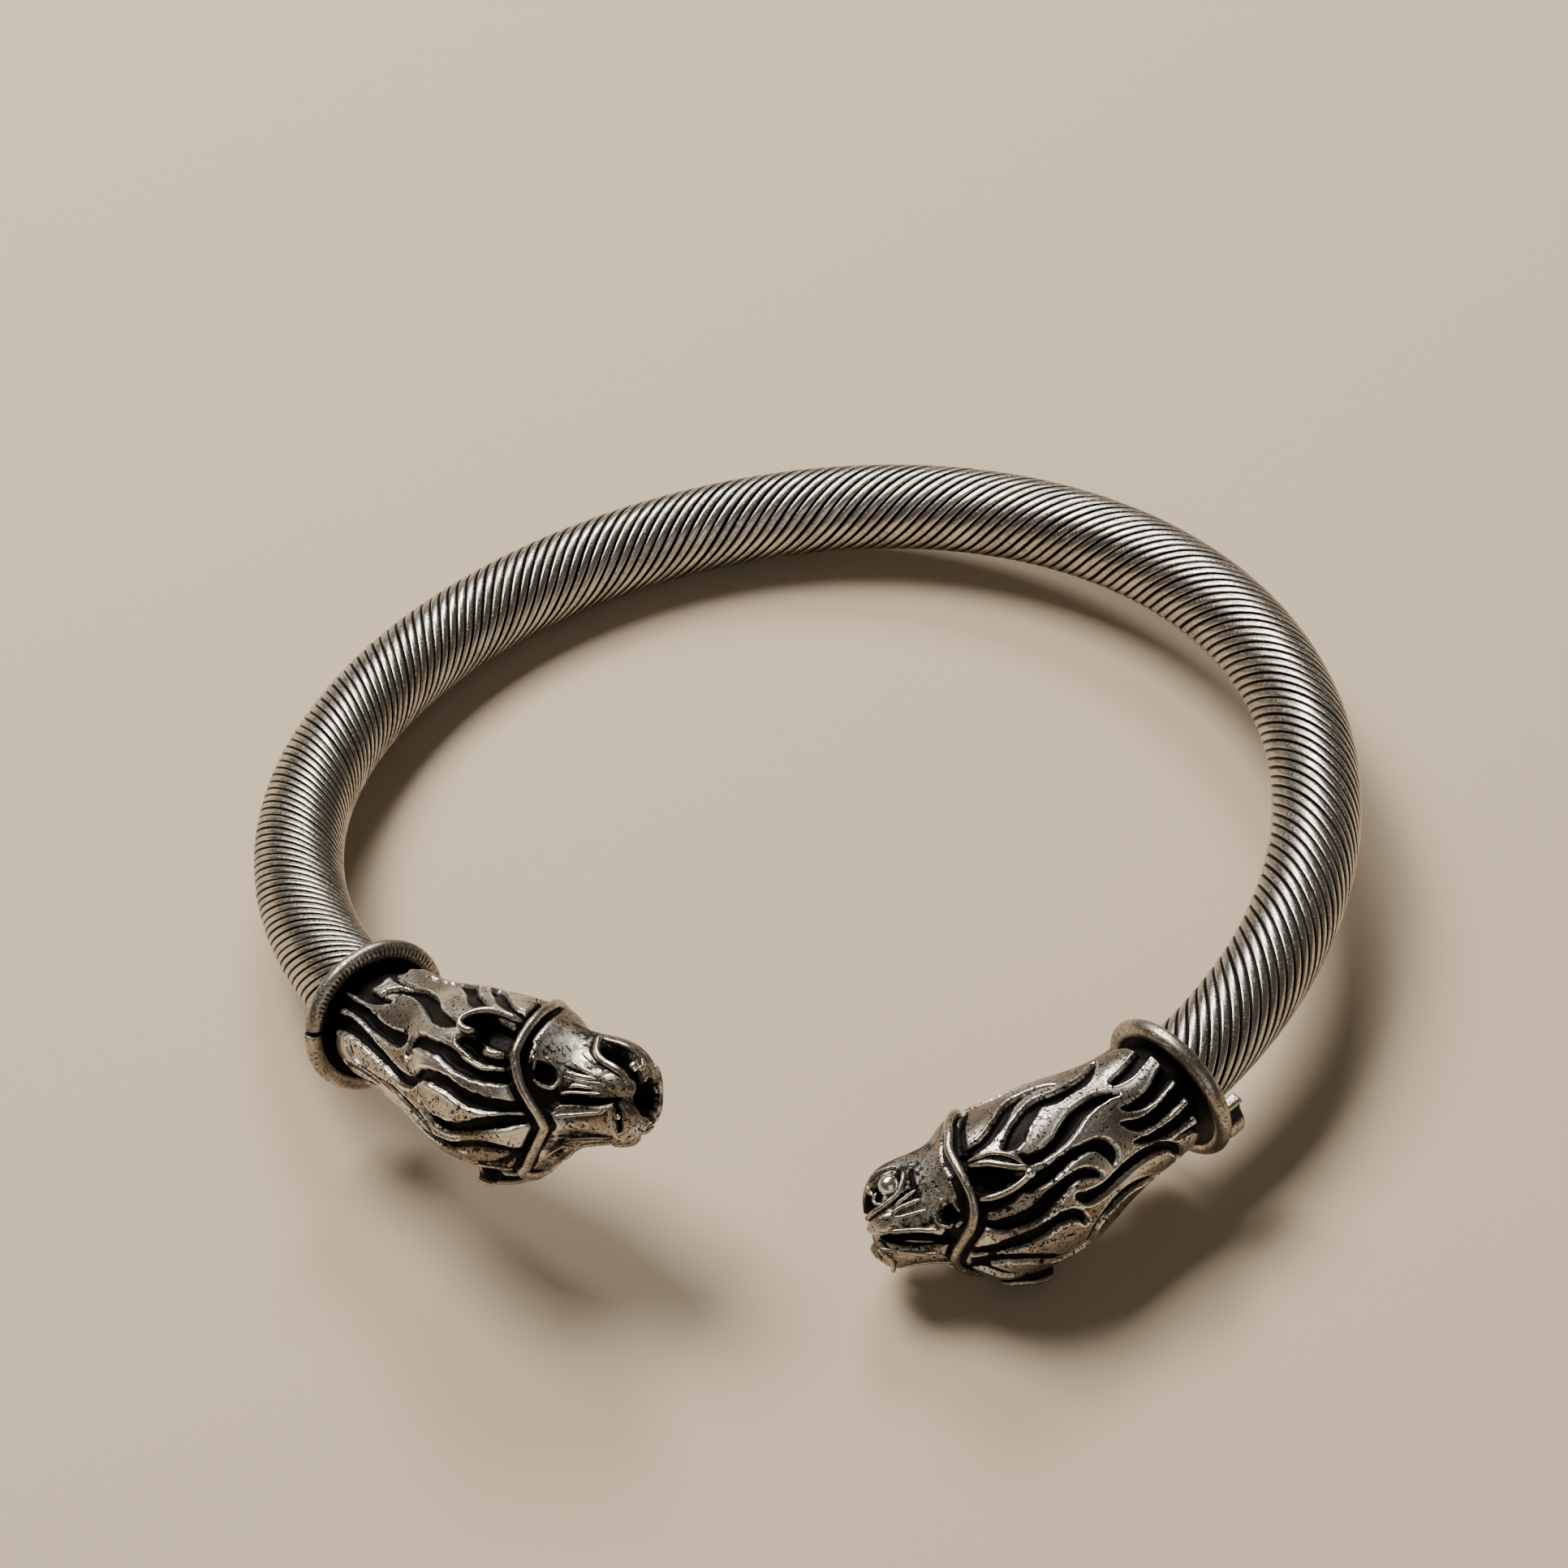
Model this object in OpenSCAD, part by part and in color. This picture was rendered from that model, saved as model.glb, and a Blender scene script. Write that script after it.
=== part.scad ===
// Open kada bangle: a spirally fluted round rod bent into a ring, with a cast beast head
// on each end. The ring lies on its side. +Z is up, the opening faces -Y and the origin is
// the point on the ground under the middle of the outline.

/* [Ring] */
// Radius of the ring at the middle of the rod
ring_r = 34.4; // [30:0.1:40]
// Angle from the back of the ring to each collar
collar_angle = 132; // [120:0.5:138]
// Sideways bend of the hand-formed ring, two waves round it
bend_two = 0.19; // [0:0.01:0.5]
// Sideways bend of the hand-formed ring, three waves round it
bend_three = 0.4; // [0:0.01:0.8]
// Steady rise of the ring toward its left end, for each radian
spring_rise = 0.67; // [0:0.01:1]
// Extra rise of both ends, for each radian cubed
spring_curl = 0.14; // [0:0.01:0.2]

/* [Rod] */
// Radius of the rod over the flutes
rod_r = 3.05; // [2:0.05:4]
// Depth of a flute
flute_depth = 0.26; // [0.1:0.02:0.4]
// Number of flutes round the rod
flutes = 20; // [12:1:24]

/* [Collars] */
// Radius of the middle of the collar's round rim
collar_r = 4.66; // [4.2:0.02:5.2]
// Radius of the wire that forms the rim
collar_wire_r = 0.6; // [0.4:0.05:0.8]
// Width of the open seam in the left collar
seam_gap = 0.28; // [0.1:0.02:0.5]
// Distance of the right collar in front of its end angle
right_collar = 0.8; // [0:0.1:1.5]
// Length of the solder tab behind the right collar
tab_length = 3; // [1:0.1:4]

/* [Heads] */
// Length of a head from its collar to its muzzle
head_length = 22.95; // [20:0.05:26]
// Length of the right head's muzzle as a share of the left one's
right_muzzle = 0.91; // [0.8:0.01:1.1]
// Turn of the left head's crown, from straight up toward the outside
left_turn = 79; // [60:1:120]
// Turn of the right head's crown, from straight up toward the outside
right_turn = 97; // [60:1:120]
// Depth of the grooves between the locks of the mane
lock_depth = 0.55; // [0.2:0.05:0.8]
// Height of the ears' tips above the mane
ear_height = 1.0; // [0.3:0.05:1.5]

/* [Hidden] */

// Rest of the ring on the ground: how it leans, and how its outline is centred and lifted
lean_back = -4.76;
lean_left = -5.623;
shift_right = 0.405;
shift_back = 0.085;
lift_up = 6.798;

silver = [0.72, 0.7, 0.67];
dark_silver = [0.5, 0.48, 0.45];
gap = 0.06;
radian = 180 / PI;

// Fit of the rod's plain post in the collar and the head
post_r = 2.5;
post_length = 2.6;
collar_back = 0.8;
collar_front = 0.1;
rim_set_back = 0.35;
neck_start = 0.05;
rod_gap = 0.16;
left_rim_shift = [-0.14, 0.38];
right_rim_shift = [0.25, -0.29];
seam_angle = 73;
tab_angle = -5;
tab_thick = 0.9;
tab_depth = 1.5;
tab_bite = 0.4;
socket_spare = 0.2;

// Steps of the flutes' turn between the rod's rings, and of the head's stations
twist_step = 32;
head_sides = 42;
station_step = 0.6;
first_stations = [0.7, 1.3];
last_stations = [21.2, 21.8, 22.35, 22.75, head_length];
least_station = 0.3;
steps_end = 20.8;
muzzle_start = 17;
muzzle_drop = 0.3;

// The head's chart: the size of a degree on it, where the skin starts to have relief, the
// mane's last place, the share of an ear's height at its root, and the angles between which
// the crown turns into the jaw
degree_mm = 0.08;
relief_start = 1;
mane_end = 15.5;
ear_share = 0.6;
least_raised = 0.05;
edge_start = 0.5;
edge_end = 1.5;
crown_side = 55;
jaw_side = 125;

// Flute spacing along the rod: [share of the way from the left collar, spacing]
flute_spacing = [[0, 0.71], [0.14, 0.71], [0.28, 0.87], [0.36, 0.93], [0.5, 0.93],
    [0.64, 0.86], [0.75, 0.92], [0.86, 1.03], [1, 1.09]];

// Head sections: [length from the collar, radius on the crown, radius on the jaw]
head_sections = [[0, 3.6, 3.6], [0.7, 3.68, 3.68], [1.3, 3.95, 3.85], [3, 4.2, 3.95],
    [5, 4.35, 4.15], [7, 4.75, 4.55], [8.5, 5.3, 4.85], [10, 5.85, 5], [12, 6.05, 5.05],
    [14, 6, 5.05], [15.5, 5.7, 4.85], [16.5, 4.95, 4.3], [17.5, 4.15, 3.9], [18.5, 3.45, 3.75],
    [20, 3.05, 3.6], [21, 2.95, 3.4], [21.8, 2.7, 3], [22.35, 2.2, 2.5], [22.75, 1.5, 1.8],
    [22.95, 0.6, 0.7]];

// Raised and sunk features on both sides of a head:
// [half width, height, points of [length, angle from the crown]]
face_lines = [
    [0.45, 0.38, [[17.5, 0], [17, 18], [16.2, 38], [15.85, 55], [15.9, 80], [15.4, 108],
        [14.3, 145], [14.2, 180]]],
    [0.4, ear_share * ear_height, [[15.3, 71], [13.9, 70]]],
    [0.4, ear_height, [[13.4, 68], [12.2, 61], [12.6, 52]]],
    [0.4, ear_share * ear_height, [[13.4, 49], [15, 46]]],
    [0.6, -0.8, [[13.4, 59], [15, 58]]],
    [0.6, -0.6, [[17.4, 46], [17.5, 38]]],
    [0.4, 0.2, [[19.4, 108], [19.6, 92], [20.2, 76], [21.2, 66], [22.2, 58]]],
    [0.7, -1, [[20.6, 90], [21.9, 86]]],
    [0.4, 0.35, [[18.2, 0], [21.2, 2]]],
    [0.45, -0.35, [[18.4, 18], [21.4, 23]]]];

// Grooves between the locks: [side, half width, points of [length, angle from the crown]]
mane_grooves = [
    [-1, 0.5, [[4, 112], [6, 110], [8, 107], [10, 89], [12, 76]]],
    [-1, 0.45, [[3.7, 66], [5, 76], [6.5, 76], [9, 62], [10.8, 57]]],
    [-1, 0.45, [[1, 52], [3.8, 57]]],
    [-1, 0.5, [[1, 37], [3, 38], [5, 34], [7.4, 37]]],
    [-1, 0.5, [[1, 17], [3, 20], [6, 13], [8, 9], [10, 21], [12, 20], [14, 15], [16.6, 13]]],
    [-1, 0.35, [[2.4, 3], [3.2, -8], [6, -8], [9, -7], [10.4, -15]]],
    [-1, 0.38, [[8.4, 32], [10, 40], [12, 37], [14, 32], [15.6, 33]]],
    [-1, 0.45, [[9.3, 124], [11, 105], [13, 87], [15.3, 79]]],
    [-1, 0.38, [[10.4, 0], [12, -7], [14, -1], [16.8, 3]]],
    [-1, 0.35, [[8.6, -20], [11.5, -24], [14, -16], [16, -23]]],
    [-1, 0.35, [[3, 172], [7, 160], [11, 150], [13.6, 140]]],
    [1, 0.38, [[3.3, -20], [4.3, 10], [6, 18], [9, 17], [10.4, 24]]],
    [1, 0.5, [[1.5, 24], [4, 23], [5.6, 30]]],
    [1, 0.5, [[1.5, 45], [4, 40], [5.8, 48]]],
    [1, 0.5, [[1.5, 66], [3, 60], [5.2, 60]]],
    [1, 0.5, [[1.5, 96], [4, 88], [5, 87]]],
    [1, 0.45, [[5, 118], [6.5, 102], [8.5, 95], [10, 94], [12, 78], [13, 71]]],
    [1, 0.42, [[5.6, 76], [7, 78], [9, 68], [11, 58], [12.6, 59]]],
    [1, 0.4, [[7.7, 32], [8, 47], [10, 50], [12, 44], [15.4, 41]]],
    [1, 0.35, [[9.2, 33], [10.6, 36], [13, 26], [15.4, 28]]],
    [1, 0.35, [[10.8, 11], [12, 15], [14, 11], [16.7, 5]]],
    [1, 0.36, [[4.8, -28], [7.5, -1], [9.2, -2], [10.9, -25], [13, -13], [15, 0], [17, -13]]],
    [1, 0.4, [[9, 114], [11, 110], [13, 88], [15.5, 77]]],
    [1, 0.35, [[3, 160], [7, 148], [10, 138], [14, 130]]]];

// The ring's middle line, at an angle from the back that is positive toward the left head
function ring_radius(t) = ring_r - bend_two * sin(2 * t) - bend_three * sin(3 * t);
function rise(t) = let(a = t / radian) spring_rise * a + spring_curl * a * a * a;
function on_ring(t) = [-ring_radius(t) * sin(t), ring_radius(t) * cos(t), rise(t)];
function unit(v) = v / norm(v);
function along(t) = unit(on_ring(t + 0.5) - on_ring(t - 0.5));
function outward(t) = let(k = along(t), r = [-sin(t), cos(t), 0]) unit(r - (r * k) * k);
function upward(t) = cross(outward(t), along(t));
function mm_per_degree(t) = norm(on_ring(t + 0.5) - on_ring(t - 0.5));
function round_point(t, r, a) = on_ring(t) + r * (cos(a) * upward(t) + sin(a) * outward(t));
function end_angle(side) = side * collar_angle;
function collar_at(side) = side > 0 ? 0 : right_collar;
function muzzle_share(side) = side > 0 ? 1 : right_muzzle;
function head_along(side, s) = s - (1 - muzzle_share(side)) * max(0, s - muzzle_start);
function head_place(side, s) =
    end_angle(side) + side * head_along(side, s) / mm_per_degree(end_angle(side));

// Distance of a point from a line of points
function to_piece(p, a, b) =
    let(ab = b - a, h = max(0, min(1, ((p - a) * ab) / (ab * ab)))) norm(p - a - h * ab);
function on_chart(v) = [v[0], v[1] * degree_mm];
function to_line(p, line) =
    min([for (i = [0:len(line) - 2]) to_piece(p, on_chart(line[i]), on_chart(line[i + 1]))]);
function soft_edge(d, half) =
    max(0, min(1, (edge_end - d / half) / (edge_end - edge_start)));

// Relief of a head's skin at a length from the collar and an angle from the crown, where a
// positive angle is the animal's right
function face_relief(s, q) = let(p = on_chart([s, abs(q)]))
    [for (f = face_lines) f[1] * soft_edge(to_line(p, f[2]), f[0])];
function mane_relief(s, q) =
    -lock_depth * max([for (g = mane_grooves)
        soft_edge(to_line(on_chart([s, g[0] * q]), g[2]), g[1])]);
function fade(s, from, to) = max(0, min(1, (s - from) / (to - from)));
function sunk_relief(s, q, sunk) = sunk < 0 ? sunk : s < mane_end ? mane_relief(s, q) : 0;
function head_relief(s, q) =
    let(face = face_relief(s, q), raised = max(face))
    fade(s, 0, relief_start) * (raised > least_raised ? raised : sunk_relief(s, q, min(face)));
function head_radius(s, q) =
    let(crown = lookup(s, [for (h = head_sections) [h[0], h[1]]]),
        jaw = lookup(s, [for (h = head_sections) [h[0], h[2]]]),
        mix = fade(abs(q), crown_side, jaw_side), blend = mix * mix * (3 - 2 * mix))
    crown + (jaw - crown) * blend;

// Faces between rings of points, closed with a fan at both ends
function loft_faces(rings, sides) = concat(
    [for (i = [0:rings - 2], j = [0:sides - 1]) let(k = (j + 1) % sides)
        [i * sides + j, i * sides + k, (i + 1) * sides + j]],
    [for (i = [0:rings - 2], j = [0:sides - 1]) let(k = (j + 1) % sides)
        [i * sides + k, (i + 1) * sides + k, (i + 1) * sides + j]],
    [for (j = [0:sides - 1]) [rings * sides, (j + 1) % sides, j]],
    [for (j = [0:sides - 1]) let(base = (rings - 1) * sides)
        [rings * sides + 1, base + j, base + (j + 1) % sides]]);
function flipped(faces) = [for (f = faces) [f[0], f[2], f[1]]];

// Places of the rod's rings: [angle on the ring, turn of the flutes]
function rod_share(t) = (collar_angle - t) / (2 * collar_angle);
function rod_step(t) =
    twist_step / 360 * flutes * lookup(rod_share(t), flute_spacing) / mm_per_degree(t);
end_mm = mm_per_degree(collar_angle);
function rod_end(side) = collar_angle + (collar_at(side) - collar_back - rod_gap) / end_mm;
function post_end(side) = collar_angle + (collar_at(side) + post_length) / end_mm;

module rest() {
    translate([shift_right, shift_back, lift_up]) rotate([lean_back, lean_left, 0]) children();
}

// Fluted rod with a plain post at each end
module fluted_rod() {
    sides = 2 * flutes;
    last_t = -rod_end(-1);
    body = [for (t = rod_end(1), w = 0; t > last_t; w = w + twist_step, t = t - rod_step(t)) [t, w]];
    last = body[len(body) - 1];
    rings = concat([[post_end(1), 0, 0], [rod_end(1), 0, 0]], [for (b = body) [b[0], b[1], 1]],
        [[last_t, last[1] + twist_step * (last[0] - last_t) / rod_step(last[0]), 1],
            [last_t, last[1], 0], [-post_end(-1), last[1], 0]]);
    points = [for (r = rings, j = [0:sides - 1])
        let(flute_r = rod_r - (j % 2) * flute_depth, radius = r[2] == 1 ? flute_r : post_r)
        round_point(r[0], radius, r[1] + j * 360 / sides)];
    ends = [on_ring(post_end(1)), on_ring(-post_end(-1))];
    color(dark_silver) rest()
        polyhedron(concat(points, ends), loft_faces(len(rings), sides), convexity = 6);
}

// Collar: a flat washer with a round rim, closing the head round the post
module collar_ring(side) {
    t = head_place(side, collar_at(side));
    x = side > 0 ? upward(t) : outward(t);
    y = side > 0 ? outward(t) : upward(t);
    z = side * along(t);
    p = on_ring(t);
    multmatrix([[x[0], y[0], z[0], p[0]], [x[1], y[1], z[1], p[1]], [x[2], y[2], z[2], p[2]],
        [0, 0, 0, 1]]) children();
}
module collar_body(rim_shift) {
    rotate_extrude($fn = 64) translate([post_r + gap, -collar_back])
        square([collar_r - post_r - gap, collar_back - collar_front]);
    translate(rim_shift) rotate_extrude($fn = 64) translate([collar_r, -rim_set_back])
        circle(collar_wire_r, $fn = 32);
}
module collar_left() {
    cut = [3 * collar_wire_r, seam_gap, 4 * collar_wire_r];
    color(silver) rest() collar_ring(1) difference() {
        collar_body(left_rim_shift);
        translate(left_rim_shift) rotate(seam_angle)
            translate([collar_r - collar_wire_r, -cut[1] / 2, -rim_set_back - cut[2] / 2]) cube(cut);
    }
}
module collar_right() {
    color(silver) rest() collar_ring(-1) {
        collar_body(right_rim_shift);
        translate(right_rim_shift) rotate(tab_angle)
            translate([collar_r - collar_wire_r, -tab_length / 2,
                tab_bite - collar_back - tab_depth])
            cube([tab_thick, tab_length, tab_depth]);
    }
}

// Cast head: a lofted skin with raised band, ears, lips and mane, and a socket for the post
module head(side, turn) {
    socket_r = post_r + gap;
    neck = collar_at(side) + neck_start;
    socket_end = collar_at(side) + post_length + socket_spare;
    first = [for (s = first_stations) if (s > neck + least_station) s];
    second = max(first) + station_step;
    stations = concat([neck], first, [for (s = [second:station_step:steps_end]) s], last_stations);
    angle = function(j) j * 360 / head_sides;
    signed = function(a) a > 180 ? a - 360 : a;
    skin = [for (s = stations, j = [0:head_sides - 1])
        let(q = signed(angle(j)), r = head_radius(s, q) + head_relief(s, q))
        round_point(head_place(side, s), r, turn + side * q)];
    socket = [for (s = [socket_end, neck], j = [0:head_sides - 1])
        round_point(head_place(side, s), socket_r, turn + side * angle(j))];
    muzzle_end = head_place(side, head_length + gap);
    ends = [on_ring(head_place(side, socket_end)),
        round_point(muzzle_end, muzzle_drop, turn + 180)];
    faces = flipped(loft_faces(len(stations) + 2, head_sides));
    color(silver) rest()
        polyhedron(concat(socket, skin, ends), faces, convexity = 8);
}
module head_left() { head(1, left_turn); }
module head_right() { head(-1, right_turn); }

fluted_rod();
collar_left();
collar_right();
head_left();
head_right();
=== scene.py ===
"""Open kada bangle of antiqued silver: a spirally fluted rod with a cast beast head on each end."""

import math

import bpy
import numpy as np
from bpy.props import FloatProperty, FloatVectorProperty, IntProperty, PointerProperty
from mathutils import Matrix


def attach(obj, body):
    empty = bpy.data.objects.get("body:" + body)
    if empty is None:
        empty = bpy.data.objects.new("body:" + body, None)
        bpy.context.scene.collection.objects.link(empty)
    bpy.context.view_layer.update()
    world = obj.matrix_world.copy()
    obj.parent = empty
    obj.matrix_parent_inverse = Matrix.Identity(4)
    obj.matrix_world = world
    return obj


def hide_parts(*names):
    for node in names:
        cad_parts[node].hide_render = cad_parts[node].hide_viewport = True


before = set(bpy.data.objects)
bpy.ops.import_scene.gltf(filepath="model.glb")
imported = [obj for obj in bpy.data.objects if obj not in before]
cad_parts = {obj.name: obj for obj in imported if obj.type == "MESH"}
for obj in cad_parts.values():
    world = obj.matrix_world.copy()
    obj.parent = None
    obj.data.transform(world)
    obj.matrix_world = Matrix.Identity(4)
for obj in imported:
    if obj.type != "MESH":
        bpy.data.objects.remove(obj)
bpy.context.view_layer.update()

bl_info = {
    "name": "Kada Bangle",
    "version": (1, 0, 0),
    "blender": (4, 5, 0),
    "location": "3D View > Sidebar > Kada",
    "description": "Builds an open fluted cuff bangle with two cast beast heads",
    "category": "Add Mesh",
}

MM = 0.001
BODY = "root"

# Flute spacing along the rod: (share of the way from the left collar, spacing in mm)
FLUTE_SPACING = [(0, 0.71), (0.14, 0.71), (0.28, 0.87), (0.36, 0.93), (0.5, 0.93),
                 (0.64, 0.86), (0.75, 0.92), (0.86, 1.03), (1, 1.09)]

# Columns of points across one flute, as shares of its width; the groove is at a half
FLUTE_COLUMNS = [0, 0.11, 0.21, 0.3, 0.37, 0.43, 0.5, 0.57, 0.63, 0.7, 0.79, 0.89]

# Head sections: (chart length, length from the collar, crown radius, jaw radius), all in mm
HEAD_SECTIONS = [
    (0, 0, 3.85, 3.7), (0.7, 0.7, 3.95, 3.8), (1.3, 1.3, 4.05, 3.9), (3, 3, 4.2, 3.95),
    (5, 5, 4.35, 4.15), (7, 7, 4.75, 4.55), (8.5, 8.5, 5.3, 4.85), (10, 10, 5.85, 5.0),
    (12, 12, 6.05, 5.05), (14, 14, 6.0, 5.05), (15.5, 15.5, 5.7, 4.85), (16.5, 16.5, 4.95, 4.3),
    (17.5, 17.5, 4.15, 3.9), (18.5, 18.5, 3.45, 3.75), (20, 20, 3.05, 3.6), (21, 21, 2.95, 3.4),
    (21.8, 21.75, 2.75, 3.05), (22.5, 22.35, 2.2, 2.5), (23.1, 22.75, 1.5, 1.8),
    (23.7, 22.9, 0.8, 1.0), (24.4, 22.95, 0, 0)]
CHART_END = HEAD_SECTIONS[-1][0]

# Where the muzzle starts, in mm from the collar
MUZZLE_START = 17

# Degrees from the crown between which the crown's radius turns into the jaw's
CROWN_SIDE, JAW_SIDE = 55, 125

# The least radius of a head's skin, in mm
LEAST_RADIUS = 0.02

# Where the neck's dark hollow ends: (angle, length). Here and below an angle is in degrees from
# the crown toward the side of the head that shows best, and a length is in mm on the chart.
LEFT_NECK = [(-180, 1.4), (-60, 1.2), (-20, 0.4), (10, 0.7), (30, 0.5), (45, 0.4), (50, 0.8),
             (60, 2.1), (75, 2.3), (90, 2.6), (120, 2.0), (180, 1.4)]
RIGHT_NECK = [(-180, 1.9), (10, 1.7), (33, 1.8), (55, 1.85), (85, 1.9), (105, 2.2), (125, 2.5),
              (180, 1.9)]

# Grooves between the locks of the left head's mane, as points of (length, angle, width)
LEFT_LOCKS = [
    [(4, 112, .6), (5, 109, .9), (6, 110, 1.1), (7, 110, 1.3), (8, 107.5, 1.2), (9, 99, .95),
     (10, 89, .7), (11, 81, .8), (12, 76.5, .6), (12.6, 77, .2)],
    [(3.5, 61, .35), (3.7, 67, .4), (4.2, 72, .5), (5, 76.5, .7), (6, 77.5, .95), (7, 74, .95),
     (8, 68, .95), (9, 61.5, .85), (10, 58.5, .75), (10.8, 57.5, .5), (11.3, 58, .25)],
    [(2.2, 84, .4), (3, 82, .35), (4, 81.5, .3), (4.8, 83, .2)],
    [(.3, 52, 1), (2, 54, .95), (3, 55, .8), (3.8, 57, .5), (4.4, 60, .15)],
    [(.3, 37, .9), (1, 37.5, 1), (2, 38.5, .9), (3, 38, .95), (4, 36, 1), (5, 34.5, .95),
     (6, 34, .95), (7, 35.5, .9), (7.5, 37.5, .6)],
    [(7.2, 38, .5), (7.35, 45, .25)],
    [(.3, 12, 1.1), (1, 17, 1.25), (2, 21, 1.25), (3, 20.5, 1.15), (4, 18.5, 1.05),
     (5, 15.5, .95), (6, 13, .9), (7, 10, .9), (8, 9.5, .85), (9, 12, .55), (9.5, 16.5, .5),
     (10, 21, .65), (11, 22, .75), (12, 20.5, .8), (13, 17, .85), (14, 15, .85),
     (15, 14.5, .75), (16, 14.5, .65), (16.8, 13, .6)],
    [(2.3, 7, .5), (2.5, 0, .65), (2.9, -6, .5), (3.6, -8, .25), (5, -8.5, .2), (6, -8.5, .45),
     (7, -7.5, .6), (8, -7.5, .65), (9, -7, .6), (10, -9, .45), (10.4, -14, .3),
     (10.5, -17, .15)],
    [(8.4, 29, .4), (8.4, 36, .55), (8.8, 40, .75), (10, 40, .7), (11, 39.5, .7), (12, 37, .85),
     (13, 34, .7), (14, 32, .65), (15, 33, .65), (15.7, 33, .6)],
    [(12.2, 49, .4), (13, 47.5, .6), (14, 42, .35), (15, 42, .4), (15.6, 43, .4)],
    [(9.3, 125, .8), (10, 117, .85), (11, 105, .95), (12, 96, .8), (13, 87, .75), (14, 82, .55),
     (15, 79.5, .45), (15.4, 79, .4)],
    [(13.3, 122, .3), (14.2, 111, .35), (14.8, 100, .4), (15.2, 88, .35), (15.3, 82, .3)],
    [(10.2, 3, .15), (10.5, -1.5, .35), (11, -6, .6), (11.5, -7, .7), (12, -7.5, .7),
     (13, -5, .6), (14, -1, .7), (15, 2.5, .75), (16, 3.5, .75), (16.9, 3, .6)],
    [(8.4, -20, .25), (9.5, -21.5, .4), (10.5, -22.5, .5), (11.5, -24, .65), (12.3, -22.5, .6),
     (13, -19, .55), (14, -16, .65), (15, -15.5, .55), (15.7, -19.5, .45), (16.2, -24, .5)],
    [(11.5, -42, .4), (12.5, -41, .6), (13.5, -37, .6), (14.5, -34, .6), (15.3, -29, .6),
     (15.9, -23, .4)],
    [(1.4, -22, .4), (3, -15, .35), (5.2, -14, .2)],
    [(2, -36, .5), (3.2, -29, .45), (4.5, -22, .25)],
    [(2, 172, .7), (5, 168, .7), (8, 158, .7), (11, 150, .7), (13.6, 140, .4)]]

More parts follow.
